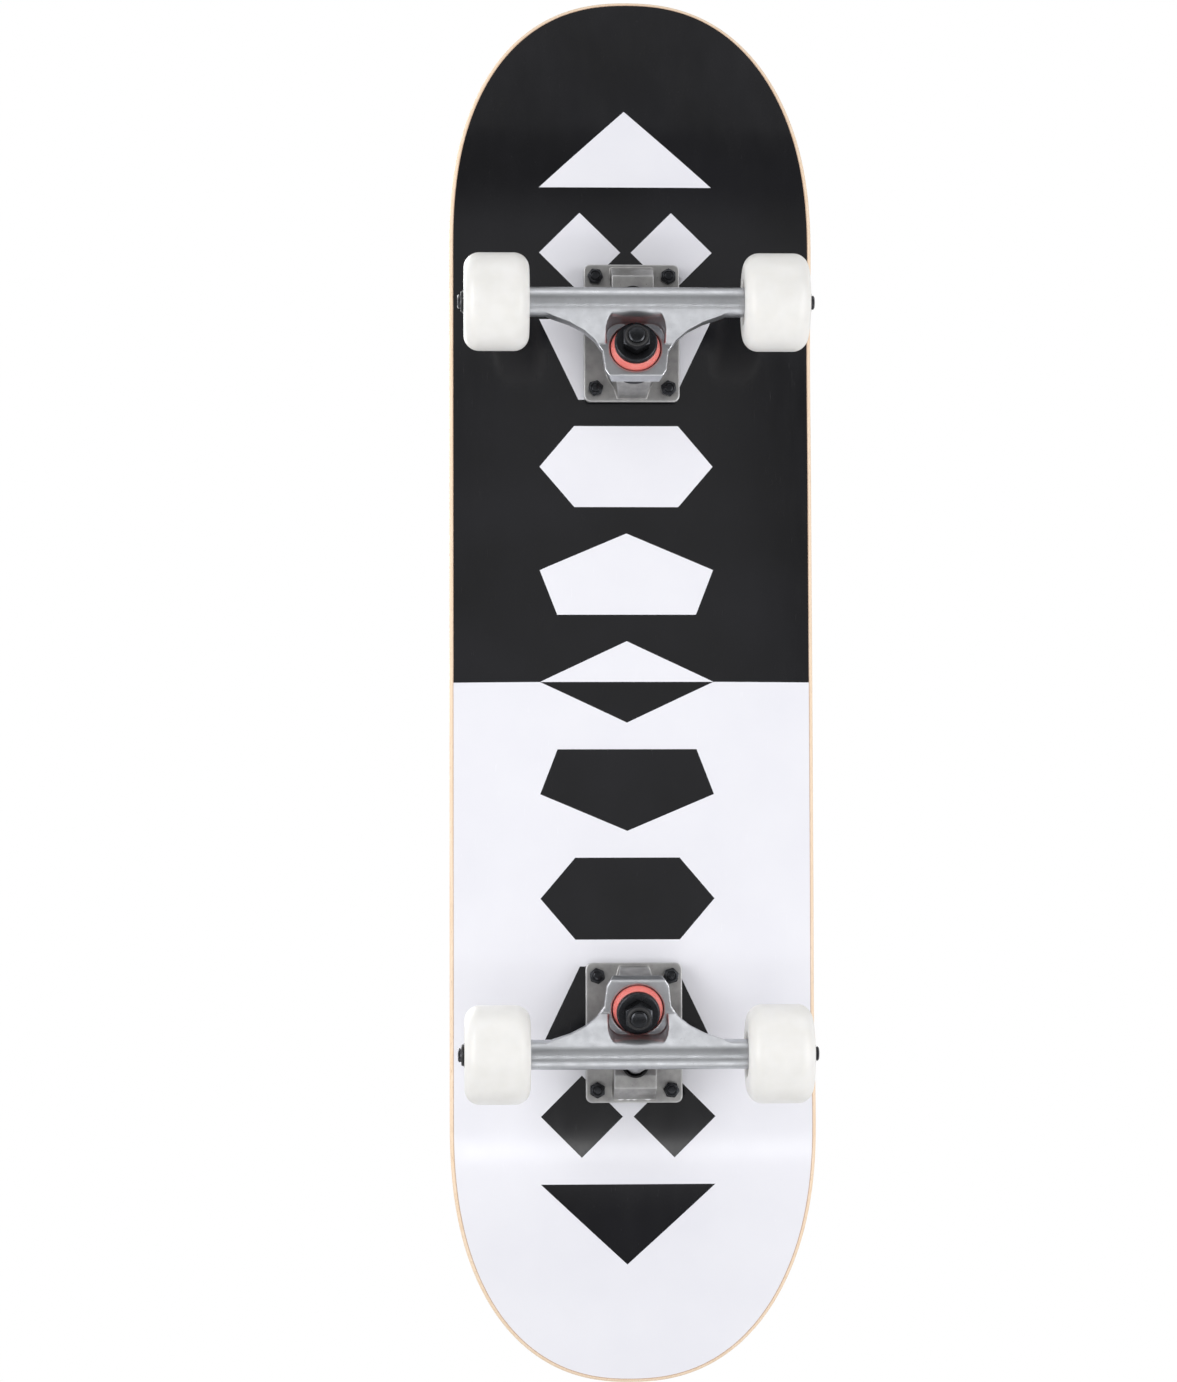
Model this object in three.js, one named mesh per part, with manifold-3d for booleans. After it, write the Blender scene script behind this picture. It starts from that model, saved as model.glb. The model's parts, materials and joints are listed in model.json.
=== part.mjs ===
// Skateboard: a seven-ply maple deck on two traditional-kingpin trucks with four urethane wheels.
// Millimetres, +Z up, +X towards the nose, +Y to the rider's left when facing the nose.
// The origin is on the ground, under the middle of the board.

import * as THREE from 'three';
import { mergeVertices } from 'three/addons/utils/BufferGeometryUtils.js';
import Module from 'manifold-3d';

// ---------------------------------------------------------------- driving dimensions

const DECK = {
  length: 794,
  width: 206,
  thickness: 10.5,
  tipLength: 150,      // length of each rounded end, in plan
  tipPower: 2.3,       // the ends are superellipses, a little squarer than an ellipse
  kickStart: 238,      // where the nose and tail start to turn up, from the middle
  kickRadius: 270,
  kickAngle: THREE.MathUtils.degToRad(17.5),
  flatHalfWidth: 37,   // the middle of the concave is flat
  concavePower: 1.5,
  edgeInset: 2.2,      // size of the rounded-over edge
  edgeDrop: 2.8,
};

// Height of the rails over the middle of the deck, at distances from the middle of the board.
const CONCAVE = [[0, 8], [110, 8.4], [180, 10], [252, 2.6], [397, 2.6]];

const GRIP = { inset: 2.5, thickness: 0.8, gap: 0.1 };

const BELLY_HEIGHT = 84;          // underside of the deck above the ground
const TRUCK_OFFSET = 196.85;      // middle of each bolt pattern from the middle of the board
const BOLTS = { halfLength: 31.75, halfWidth: 20.65, radius: 2.4, headRadius: 4.6, length: 25.4 };
const LOCK_NUT = { acrossFlats: 8, hexHeight: 4.2, collarRadius: 3.5, height: 6 };
const PLATE = { length: 78, width: 54, thickness: 4.5, cornerRadius: 3.5 };
const RISER = { length: 76, width: 53, thickness: 3.2, cornerRadius: 3.5 };
const SEAT_GAP = 0.1;             // between faces that bear on each other

// In a truck's own frame, X points outward, to the nearer tip, and Z = 0 is the deck's underside.
const AXLE = { x: 9.6, z: -57, radius: 4, length: 197, facets: 20 };
const PIVOT = { x: 19.2, z: -15.7, radius: 4.4 };           // the ball end of the hanger's nose
const NOSE_LEAN = THREE.MathUtils.degToRad(17.7);           // of the nose, outward from vertical
const KINGPIN = { x: -21, z: -28.3, lean: THREE.MathUtils.degToRad(17.4), radius: 4.7, facets: 20 };
const HANGER = { tubeRadius: 8.2, width: 127, ringHole: 6.5, ringTop: 13.4, ringBottom: 22.1 };

const WHEEL = {
  radius: 27,
  width: 36,
  lip: 8.5,
  centre: 77,          // distance of the wheel's middle plane from the board's centre line
  facets: 32,
  seatRadius: 11.05,
  coreRadius: 8.5,
  coreHalfWidth: 5,
};
const BEARING = { outerRadius: 10.95, boreRadius: 4.12, width: 7 };
const SPACER_RADIUS = 5.8;
const AXLE_NUT = { acrossFlats: 13, height: 6.5, start: 90.2 };

// ---------------------------------------------------------------- materials

const material = (color, roughness, metalness = 0) =>
  new THREE.MeshStandardMaterial({ color, roughness, metalness });

const MATERIALS = {
  maple: material(0xd9a56e, 0.5),
  grip: material(0x1b1b1d, 0.95),
  cast: material(0x9b9a98, 0.5, 0.9),
  polished: material(0xb9bcc0, 0.3, 0.95),
  blackSteel: material(0x16171a, 0.35, 0.6),
  steel: material(0x8c8d90, 0.3, 1),
  shield: material(0x5a4520, 0.4, 0.8),
  blackRubber: material(0x111113, 0.7),
  salmonUrethane: material(0xdf6a66, 0.35),
  whiteUrethane: material(0xf1efe9, 0.3),
};

// ---------------------------------------------------------------- solids

const wasm = await Module();
wasm.setup();

// Joins equal corners, drops triangles that shrank to a line, and turns every face outward.
function closedGeometry(source) {
  const bare = new THREE.BufferGeometry();
  bare.setAttribute('position', source.getAttribute('position').clone());
  if (source.index) bare.setIndex(source.index.clone());
  const merged = mergeVertices(bare, 1e-3);
  const position = merged.getAttribute('position');
  const corner = [new THREE.Vector3(), new THREE.Vector3(), new THREE.Vector3()];
  const faces = [];
  let volume = 0;
  for (let i = 0; i < merged.index.count; i += 3) {
    const face = [0, 1, 2].map((k) => merged.index.getX(i + k));
    if (new Set(face).size < 3) continue;
    face.forEach((vertex, k) => corner[k].fromBufferAttribute(position, vertex));
    volume += corner[0].dot(corner[1].clone().cross(corner[2]));
    faces.push(face);
  }
  const outward = volume > 0 ? faces : faces.map(([a, b, c]) => [a, c, b]);
  merged.setIndex(outward.flat());
  return merged;
}

function toSolid(source) {
  const geometry = closedGeometry(source);
  return new wasm.Manifold(new wasm.Mesh({
    numProp: 3,
    vertProperties: geometry.getAttribute('position').array,
    triVerts: Uint32Array.from(geometry.index.array),
  }));
}

function toGeometry(solid) {
  const mesh = solid.getMesh();
  const geometry = new THREE.BufferGeometry();
  geometry.setAttribute('position', new THREE.BufferAttribute(mesh.vertProperties, 3));
  geometry.setIndex(new THREE.BufferAttribute(mesh.triVerts, 1));
  return geometry;
}

const union = (...parts) => parts.map(toSolid).reduce((all, part) => all.add(part));
const cut = (solid, ...tools) => tools.map(toSolid).reduce((rest, tool) => rest.subtract(tool), solid);

// A body turned about Y, from [radius, height] corners. A profile that stays off the axis is closed.
function turned(profile, facets, start = 0) {
  const onAxis = profile[0][0] === 0;
  const corners = onAxis ? profile : [...profile, profile[0]];
  const points = corners.map(([radius, height]) => new THREE.Vector2(radius, height));
  return new THREE.LatheGeometry(points, facets, start, Math.PI * 2);
}

const rod = (radius, from, to, facets) =>
  turned([[0, from], [radius, from], [radius, to], [0, to]], facets);

const tube = (inner, outer, from, to, facets) =>
  turned([[inner, from], [outer, from], [outer, to], [inner, to]], facets);

// A hexagonal prism about Y with flat sides that face +X and -X.
function hexagon(acrossFlats, from, to) {
  const prism = new THREE.CylinderGeometry(1, 1, to - from, 6);
  const radius = acrossFlats / 2 / Math.cos(Math.PI / 6);
  return prism.scale(radius, 1, radius).translate(0, (from + to) / 2, 0);
}

const polygon = (corners) => new THREE.Shape(corners.map(([a, b]) => new THREE.Vector2(a, b)));

// A plate in the XY plane between two heights.
function plate(shape, low, high, curveSegments = 3) {
  const options = { depth: high - low, bevelEnabled: false, curveSegments };
  return new THREE.ExtrudeGeometry(shape, options).translate(0, 0, low);
}

// A prism with its outline in the XZ plane, centred on Y = 0.
function sidePrism(corners, width) {
  const geometry = new THREE.ExtrudeGeometry(polygon(corners), { depth: width, bevelEnabled: false });
  return geometry.rotateX(Math.PI / 2).translate(0, width / 2, 0);
}

// A prism with its outline in the YZ plane, between two X.
function endPrism(corners, low, high) {
  const outline = corners.map(([y, z]) => [-z, y]);
  const geometry = new THREE.ExtrudeGeometry(polygon(outline), { depth: high - low, bevelEnabled: false });
  return geometry.rotateY(Math.PI / 2).translate(low, 0, 0);
}

// A symmetric outline from its +Y half.
const mirrored = (half) => [...half, ...half.map(([x, y]) => [x, -y]).reverse()];

function roundedRectangle(length, width, radius) {
  const [a, b] = [length / 2 - radius, width / 2 - radius];
  const shape = new THREE.Shape();
  shape.absarc(a, b, radius, 0, Math.PI / 2);
  shape.absarc(-a, b, radius, Math.PI / 2, Math.PI);
  shape.absarc(-a, -b, radius, Math.PI, Math.PI * 1.5);
  shape.absarc(a, -b, radius, Math.PI * 1.5, Math.PI * 2);
  return shape;
}

const group = new THREE.Group();

function addMesh(parent, name, geometry, meshMaterial) {
  const mesh = new THREE.Mesh(closedGeometry(geometry), meshMaterial);
  mesh.name = name;
  parent.add(mesh);
  return mesh;
}

// ---------------------------------------------------------------- deck surface

const smooth = (t) => t * t * (3 - 2 * t);

function concaveRise(x) {
  const distance = Math.abs(x);
  const next = CONCAVE.findIndex(([at]) => at >= distance);
  if (next < 1) return CONCAVE[next < 0 ? CONCAVE.length - 1 : 0][1];
  const [[x0, rise0], [x1, rise1]] = [CONCAVE[next - 1], CONCAVE[next]];
  return rise0 + (rise1 - rise0) * smooth((distance - x0) / (x1 - x0));
}

// Slope of the deck along its length: flat, then an arc, then straight kicks.
function slope(x) {
  const along = Math.max(0, Math.abs(x) - DECK.kickStart);
  return Math.min(Math.asin(Math.min(along / DECK.kickRadius, 1)), DECK.kickAngle);
}

function kickRise(x) {
  const along = Math.max(0, Math.abs(x) - DECK.kickStart);
  const arc = DECK.kickRadius * Math.sin(DECK.kickAngle);
  const straight = Math.max(0, along - arc);
  return DECK.kickRadius * (1 - Math.cos(slope(x))) + straight * Math.tan(DECK.kickAngle);
}

function undersideHeight(x, y) {
  const out = Math.max(0, Math.abs(y) - DECK.flatHalfWidth) / (DECK.width / 2 - DECK.flatHalfWidth);
  return BELLY_HEIGHT + kickRise(x) + concaveRise(x) * out ** DECK.concavePower;
}

const topHeight = (x, y) => undersideHeight(x, y) + DECK.thickness / Math.cos(slope(x));

// The plan outline, once around, with every point moved inward by inset.
function deckOutline(inset) {
  const straightEnd = DECK.length / 2 - DECK.tipLength;
  const halfWidth = DECK.width / 2;
  const power = DECK.tipPower;
  const tipSteps = 9;
  const quarter = [0, 115, 150, 180, 205, 228].map((x) => [x, halfWidth - inset]);
  for (let i = 0; i <= tipSteps; i += 1) {
    const angle = (Math.PI / 2) * (1 - i / tipSteps);
    const across = i === tipSteps ? 0 : Math.sin(angle) ** (2 / power);
    const along = i === 0 ? 0 : Math.cos(angle) ** (2 / power);
    const normal = new THREE.Vector2(
      along ** (power - 1) / DECK.tipLength,
      across ** (power - 1) / halfWidth,
    ).normalize().multiplyScalar(inset);
    quarter.push([straightEnd + DECK.tipLength * along - normal.x, halfWidth * across - normal.y]);
  }
  const nose = quarter;                                    // middle of the +Y side to the nose
  const noseBack = quarter.slice(0, -1).reverse().map(([x, y]) => [x, -y]);
  const tail = quarter.slice(1).map(([x, y]) => [-x, -y]);
  const tailBack = quarter.slice(1, -1).reverse().map(([x, y]) => [-x, y]);
  return [...nose, ...noseBack, ...tail, ...tailBack];
}

// Loops from the board's spine out to the outline.
function deckLoops(inset, height) {
  const spineEnd = 300;
  return [0, 0.36, 0.56, 0.78, 1].map((fraction) =>
    deckOutline(inset).map(([x, y]) => {
      const spine = THREE.MathUtils.clamp(x, -spineEnd, spineEnd);
      const [px, py] = [spine + (x - spine) * fraction, y * fraction];
      return new THREE.Vector3(px, py, height(px, py));
    }));
}

// Triangles between neighbouring loops. The top and the underside split their quads the same way.
function strip(loops) {
  const corners = [];
  for (let k = 0; k + 1 < loops.length; k += 1) {
    const [inner, outer] = [loops[k], loops[k + 1]];
    inner.forEach((point, i) => {
      const j = (i + 1) % inner.length;
      corners.push(point, outer[i], outer[j], point, outer[j], inner[j]);
    });
  }
  return corners;
}

function flipped(corners) {
  const turnedOver = [];
  for (let i = 0; i < corners.length; i += 3) turnedOver.push(corners[i], corners[i + 2], corners[i + 1]);
  return turnedOver;
}

// A sheet that follows the deck, between two height functions, with any loops of its edge between.
function deckSheet(inset, low, high, edge = []) {
  const top = deckLoops(inset, high);
  const bottom = deckLoops(inset, low);
  const sides = [top.at(-1), ...edge, bottom.at(-1)];
  const corners = [...strip(top), ...strip(sides), ...flipped(strip(bottom))];
  return new THREE.BufferGeometry().setFromPoints(corners);
}

function deckEdge() {
  const loop = (height) => deckOutline(0).map(([x, y]) => new THREE.Vector3(x, y, height(x, y)));
  const upper = loop((x, y) => topHeight(x, y) - DECK.edgeDrop);
  const lower = loop((x, y) => undersideHeight(x, y) + DECK.edgeDrop);
  return [upper, lower];
}

// ---------------------------------------------------------------- mounting hardware

const BOLT_TOP = DECK.thickness + GRIP.gap + GRIP.thickness;   // in a truck's frame

// A flat-head bolt along Y with its head's face at height 0, grown by clearance all round.
function boltBody(clearance) {
  const { radius, headRadius, length } = BOLTS;
  const [shank, head] = [radius + clearance, headRadius + clearance];
  const top = clearance * 10;
  const rim = -0.5;             // end of the straight rim, where the 45 degree cone starts
  const coneEnd = rim - (headRadius - radius);
  return turned([
    [0, top], [head, top], [head, rim], [shank, coneEnd], [shank, -length], [0, -length],
  ], 12);
}

function crossRecess() {
  const [arm, width, depth] = [2.5, 0.95, 1.7];
  const bar = (x, z) => new THREE.BoxGeometry(x, depth * 2, z);
  return toGeometry(union(bar(arm * 2, width), bar(width, arm * 2)));
}

function lockNut() {
  const { acrossFlats, hexHeight, collarRadius, height } = LOCK_NUT;
  const body = union(hexagon(acrossFlats, -hexHeight, 0), rod(collarRadius, -height, -hexHeight + 1, 12));
  return toGeometry(cut(body, rod(BOLTS.radius + SEAT_GAP, -height - 1, 1, 12)));
}

const upright = (geometry) => geometry.clone().rotateX(Math.PI / 2);
const boltPlaces = [[1, 1], [1, -1], [-1, -1], [-1, 1]].map(([i, j]) =>
  [i * BOLTS.halfLength, j * BOLTS.halfWidth]);

function boardHoles() {
  const hole = upright(boltBody(0.15));
  return [1, -1].flatMap((end) => boltPlaces.map(([x, y]) =>
    hole.clone().translate(end * TRUCK_OFFSET + x, y, BELLY_HEIGHT + BOLT_TOP)));
}

// ---------------------------------------------------------------- truck castings

// Places a body turned about Y so that it runs down the kingpin from the baseplate's boss.
const kingpinMatrix = new THREE.Matrix4()
  .makeTranslation(KINGPIN.x, 0, KINGPIN.z)
  .multiply(new THREE.Matrix4().makeRotationY(-KINGPIN.lean))
  .multiply(new THREE.Matrix4().makeRotationX(-Math.PI / 2));

// The same for the hanger's nose, from the middle of its ball end down to the axle.
const noseMatrix = new THREE.Matrix4()
  .makeTranslation(PIVOT.x, 0, PIVOT.z)
  .multiply(new THREE.Matrix4().makeRotationY(NOSE_LEAN))
  .multiply(new THREE.Matrix4().makeRotationX(-Math.PI / 2));

const onKingpin = (geometry) => geometry.applyMatrix4(kingpinMatrix);
const onNose = (geometry) => geometry.applyMatrix4(noseMatrix);

const KINGPIN_HEAD = { acrossFlats: 14.3, from: -21, to: -15.5 };
const KINGPIN_END = 39.5;
const KINGPIN_NUT = { acrossFlats: 14.3, from: 30, to: 38 };
const CUP = { radius: 6.2, from: -6.5, to: 6.5 };
const RISER_OPENING = { length: 24, width: 19, cornerRadius: 4, x: -25.5 };   // over the kingpin's head
const HEAD_POCKET_RADIUS = 8.8;       // in the baseplate, for the kingpin's head
const BOARDSIDE_SEAT = { radius: 12.2, depth: 1.5 };          // in the hanger's ring, for each bushing
const ROADSIDE_SEAT = { radius: 14.4, depth: 2 };

function riserPad() {
  const top = -SEAT_GAP;
  const outline = roundedRectangle(RISER.length, RISER.width, RISER.cornerRadius);
  const pad = plate(outline, top - RISER.thickness, top);
  const { length, width, cornerRadius, x } = RISER_OPENING;
  const opening = plate(roundedRectangle(length, width, cornerRadius), -8, 1).translate(x, 0, 0);
  return toGeometry(cut(toSolid(pad), opening, ...mountingHoles()));
}

function mountingHoles() {
  return boltPlaces.map(([x, y]) =>
    upright(rod(BOLTS.radius + 0.3, -12, 2, 12)).translate(x, y, 0));
}

const PLATE_TOP = -2 * SEAT_GAP - RISER.thickness;
const PLATE_BOTTOM = PLATE_TOP - PLATE.thickness;

function baseplate() {
  const outline = roundedRectangle(PLATE.length, PLATE.width, PLATE.cornerRadius);
  const base = plate(outline, PLATE_BOTTOM, PLATE_TOP);
  // Side profile: pivot housing, notch, then the kingpin's boss with its tilted face.
  const profile = [
    [38, -6], [34, -15.2], [30.2, -22.1], [22.9, -22.1],
    [12.5, -18], [-30.9, -31.2], [-36.1, -13.8], [-37.5, -6],
  ];
  const plan = mirrored([[-38, 7.6], [-31, 9.8], [-24, 14], [9, 14], [14, 11.8], [38.5, 11.8]]);
  const draft = [[-14.8, -5], [14.8, -5], [12.6, -32], [-12.6, -32]];
  const casting = toSolid(sidePrism(profile, 40))
    .intersect(toSolid(plate(polygon(plan), -40, 0)))
    .intersect(toSolid(endPrism(draft, -40, 40)));
  const solid = toSolid(base).add(casting);
  return toGeometry(cut(
    solid,
    ...mountingHoles(),
    onNose(rod(CUP.radius + SEAT_GAP, CUP.from - SEAT_GAP, 20, 24)),
    onKingpin(rod(KINGPIN.radius + 0.2, -30, 10, KINGPIN.facets)),
    onKingpin(rod(HEAD_POCKET_RADIUS, -40, KINGPIN_HEAD.to + SEAT_GAP, 24)),
  ));
}

// The urethane cup: round seat for the ball end, and a flared mouth that lets the nose swing.
function pivotCup() {
  const seat = PIVOT.radius + 0.15;
  return turned([
    [0, CUP.from], [CUP.radius, CUP.from], [CUP.radius, CUP.to], [5.9, CUP.to],
    [5.2, 3], [seat, 0], [seat * 0.8, -seat * 0.62], [seat * 0.4, -seat * 0.93], [0, -seat],
  ], 20);
}

function kingpin() {
  const { acrossFlats, from, to } = KINGPIN_HEAD;
  const [radius, chamfer] = [KINGPIN.radius, 0.8];
  const shank = turned([
    [0, from + 1], [radius, from + 1], [radius, KINGPIN_END - chamfer],
    [radius - chamfer, KINGPIN_END], [0, KINGPIN_END],
  ], KINGPIN.facets);
  return toGeometry(union(hexagon(acrossFlats, from, to), shank));
}

// The hanger turns about the line from its ball end to the middle of its ring.
function hanger() {
  const { tubeRadius, width, ringHole, ringTop, ringBottom } = HANGER;
  const axleTube = rod(tubeRadius, -width / 2, width / 2, 24).translate(AXLE.x, 0, AXLE.z);
  // Wing, from the ring to the axle tube: its two long faces meet the tube at a tangent.
  const wing = [
    [-33.2, -46.2], [-30.6, -54.5], [-12.5, -48.8], [4.2, -63.2],
    [9.6, -57], [12.4, -49.3], [-13.2, -39.9],
  ];
  const wingPlan = mirrored([
    [-36, 11.5], [-27.5, 17], [-16.2, 18.4], [-10.5, 22.5], [-5.7, 28.6],
    [-1.5, 37], [1.4, 46], [3, 50], [14, 50],
  ]);
  const wings = toSolid(sidePrism(wing, 110)).intersect(toSolid(plate(polygon(wingPlan), -80, -20)));
  const gusset = sidePrism([[-13, -43], [-4, -37.6], [5.6, -34.6], [14, -40], [9.6, -54], [0, -54]], 17);
  const nose = onNose(turned([
    [0, -PIVOT.radius], [2.2, -3.8], [3.8, -2.2], [PIVOT.radius, 0], [4.8, 5.5],
    [7.6, 20], [8, 32], [6.6, 40], [0, 40],
  ], 20));
  const solid = union(axleTube, nose, gusset).add(wings);
  return toGeometry(cut(
    solid,
    rod(AXLE.radius + 0.06, -width, width, AXLE.facets).translate(AXLE.x, 0, AXLE.z),
    onKingpin(rod(ringHole, 5, 30, 24)),
    onKingpin(rod(BOARDSIDE_SEAT.radius, ringTop - 3, ringTop + BOARDSIDE_SEAT.depth, 24)),
    onKingpin(rod(ROADSIDE_SEAT.radius, ringBottom - ROADSIDE_SEAT.depth, ringBottom + 1, 24)),
    pocket(),
  ));
}

// The pocket round the kingpin nut: a half circle, squared off towards the axle.
function pocket() {
  const [radius, reach, corner] = [16.3, 14.7, 8];
  const shape = new THREE.Shape();
  shape.absarc(0, 0, radius, 0, Math.PI);
  shape.absarc(corner - radius, corner - reach, corner, Math.PI, Math.PI * 1.5);
  shape.absarc(radius - corner, corner - reach, corner, Math.PI * 1.5, Math.PI * 2);
  const options = { depth: 40, bevelEnabled: false, curveSegments: 6 };
  const prism = new THREE.ExtrudeGeometry(shape, options);
  // From the XY plane to the kingpin's frame: depth runs along Y, and reach runs outward along X.
  prism.applyMatrix4(new THREE.Matrix4().makeBasis(
    new THREE.Vector3(0, 0, 1), new THREE.Vector3(-1, 0, 0), new THREE.Vector3(0, 1, 0),
  ));
  return onKingpin(prism.translate(0, HANGER.ringBottom, 0));
}

// ---------------------------------------------------------------- turned pieces on the kingpin

const bore = KINGPIN.radius + 0.15;

const KINGPIN_STACK = {
  boardside_washer: {
    material: 'blackSteel',
    profile: [[bore, 0.1], [12.1, 0.1], [12.4, 1.2], [12.4, 4.5], [11.9, 4.5], [11.9, 2.1], [bore, 2.1]],
  },
  boardside_bushing: {
    material: 'salmonUrethane',
    profile: [[bore, 2.2], [11.5, 2.2], [11.7, 4.6], [11.95, 8.8], [11.8, 13], [11.5, 14.8], [bore, 14.8]],
  },
  roadside_bushing: {
    material: 'salmonUrethane',
    profile: [[bore, 20.2], [13.8, 20.2], [13.8, 22], [12.2, 25.7], [11.2, 25.9], [11.2, 27.8], [bore, 27.8]],
  },
  roadside_washer: {
    material: 'blackSteel',
    profile: [
      [bore, 27.9], [11.4, 27.9], [11.4, 25.9], [11.9, 25.9], [11.9, 28.9], [11.5, 29.9], [bore, 29.9],
    ],
  },
};

function kingpinNut() {
  const { acrossFlats, from, to } = KINGPIN_NUT;
  const [face, corner, drop] = [7.6, 8.4, 0.9];              // of the chamfer at each end
  const chamfer = turned([
    [0, from], [face, from], [corner, from + drop], [corner, to - drop], [face, to], [0, to],
  ], 24);
  const solid = toSolid(hexagon(acrossFlats, from, to)).intersect(toSolid(chamfer));
  return toGeometry(cut(solid, rod(bore, from - 1, to + 1, KINGPIN.facets)));
}

// ---------------------------------------------------------------- wheels

// Turned about Y, with a flat facet straight below the axle for the wheel to stand on.
function wheel() {
  const { radius, width, lip, facets, seatRadius, coreRadius, coreHalfWidth } = WHEEL;
  const outer = radius / Math.cos(Math.PI / facets);
  const face = width / 2;
  const lipSteps = 2;
  const [recessStart, recessRadius] = [12.2, 12.4];         // the bearing seat flares out to the face
  const half = [
    [coreRadius, coreHalfWidth], [seatRadius, coreHalfWidth],
    [seatRadius, recessStart], [recessRadius, face],
  ];
  for (let i = 0; i <= lipSteps; i += 1) {
    const angle = (Math.PI / 2) * (1 - i / lipSteps);
    half.push([outer - lip + lip * Math.cos(angle), face - lip + lip * Math.sin(angle)]);
  }
  const profile = [...half, ...half.map(([r, y]) => [r, -y]).reverse()];
  return turned(profile, facets, Math.PI / facets);
}

const axleNut = () => toGeometry(cut(
  toSolid(hexagon(AXLE_NUT.acrossFlats, 0, AXLE_NUT.height)),
  rod(AXLE.radius + SEAT_GAP, -1, AXLE_NUT.height + 1, AXLE.facets),
));

function axle() {
  const { radius, length, facets } = AXLE;
  const [end, chamfer] = [length / 2, 0.8];
  return turned([
    [0, -end], [radius - chamfer, -end], [radius, chamfer - end],
    [radius, end - chamfer], [radius - chamfer, end], [0, end],
  ], facets);
}

// ---------------------------------------------------------------- assembly

function addWheelSet(truck, name, side) {
  const hub = new THREE.Group();
  hub.position.set(AXLE.x, 0, AXLE.z);
  truck.add(hub);
  const place = (piece, geometry, look, from) => {
    const mesh = addMesh(hub, `${name}_${piece}`, geometry, look);
    mesh.position.y = side * from;
  };
  const { outerRadius, boreRadius, width } = BEARING;
  const bearing = tube(boreRadius, outerRadius, -width / 2, width / 2, AXLE.facets);
  const inboard = WHEEL.centre - WHEEL.coreHalfWidth - width / 2 - SEAT_GAP;
  const outboard = WHEEL.centre + WHEEL.coreHalfWidth + width / 2 + SEAT_GAP;
  place('wheel', wheel(), MATERIALS.whiteUrethane, WHEEL.centre);
  place('inner_bearing', bearing, MATERIALS.shield, inboard);
  place('outer_bearing', bearing, MATERIALS.shield, outboard);
  const spacerHalf = WHEEL.coreHalfWidth - SEAT_GAP;
  const spacer = tube(boreRadius, SPACER_RADIUS, -spacerHalf, spacerHalf, AXLE.facets);
  place('bearing_spacer', spacer, MATERIALS.steel, WHEEL.centre);
  const nut = axleNut().translate(0, -AXLE_NUT.height / 2, 0);
  place('axle_nut', nut, MATERIALS.blackSteel, AXLE_NUT.start + AXLE_NUT.height / 2);
}

function addMountingHardware(truck, name) {
  const bolt = upright(toGeometry(cut(toSolid(boltBody(0)), crossRecess())));
  const nut = upright(lockNut());
  boltPlaces.forEach(([x, y], i) => {
    addMesh(truck, `${name}_bolt_${i + 1}`, bolt, MATERIALS.blackSteel).position.set(x, y, BOLT_TOP);
    const seat = PLATE_BOTTOM - SEAT_GAP;
    addMesh(truck, `${name}_lock_nut_${i + 1}`, nut, MATERIALS.blackSteel).position.set(x, y, seat);
  });
}

function addTruck(name, end) {
  const truck = new THREE.Group();
  truck.position.set(end * TRUCK_OFFSET, 0, BELLY_HEIGHT);
  truck.rotation.z = end > 0 ? 0 : Math.PI;
  group.add(truck);
  addMesh(truck, `${name}_riser_pad`, riserPad(), MATERIALS.blackRubber);
  addMesh(truck, `${name}_baseplate`, baseplate(), MATERIALS.cast);
  addMesh(truck, `${name}_hanger`, hanger(), MATERIALS.polished);
  addMesh(truck, `${name}_pivot_cup`, onNose(pivotCup()), MATERIALS.blackRubber);
  addMesh(truck, `${name}_kingpin`, onKingpin(kingpin()), MATERIALS.blackSteel);
  for (const [piece, { material: look, profile }] of Object.entries(KINGPIN_STACK)) {
    addMesh(truck, `${name}_${piece}`, onKingpin(turned(profile, KINGPIN.facets)), MATERIALS[look]);
  }
  addMesh(truck, `${name}_kingpin_nut`, onKingpin(kingpinNut()), MATERIALS.blackSteel);
  addMesh(truck, `${name}_axle`, axle().translate(AXLE.x, 0, AXLE.z), MATERIALS.steel);
  addMountingHardware(truck, name);
  addWheelSet(truck, `${name}_left`, end);
  addWheelSet(truck, `${name}_right`, -end);
}

const deckSolid = toSolid(deckSheet(DECK.edgeInset, undersideHeight, topHeight, deckEdge()));
addMesh(group, 'deck', toGeometry(cut(deckSolid, ...boardHoles())), MATERIALS.maple);

const gripLow = (x, y) => topHeight(x, y) + GRIP.gap;
const gripHigh = (x, y) => gripLow(x, y) + GRIP.thickness;
const gripSolid = toSolid(deckSheet(GRIP.inset, gripLow, gripHigh));
addMesh(group, 'grip_tape', toGeometry(cut(gripSolid, ...boardHoles())), MATERIALS.grip);

addTruck('front', 1);
addTruck('rear', -1);

export default group;
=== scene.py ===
"""The looks of a skateboard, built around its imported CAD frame.

Shapes are worked out in millimetres in the frame's axes: +X to the nose, +Y to the left, +Z up.
A truck has axes of its own: X outward to the nearer tip, Z = 0 on the underside of the deck.
"""

import json
import math

import bmesh
import bpy
from mathutils import Matrix, Vector
from mathutils.geometry import delaunay_2d_cdt

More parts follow.
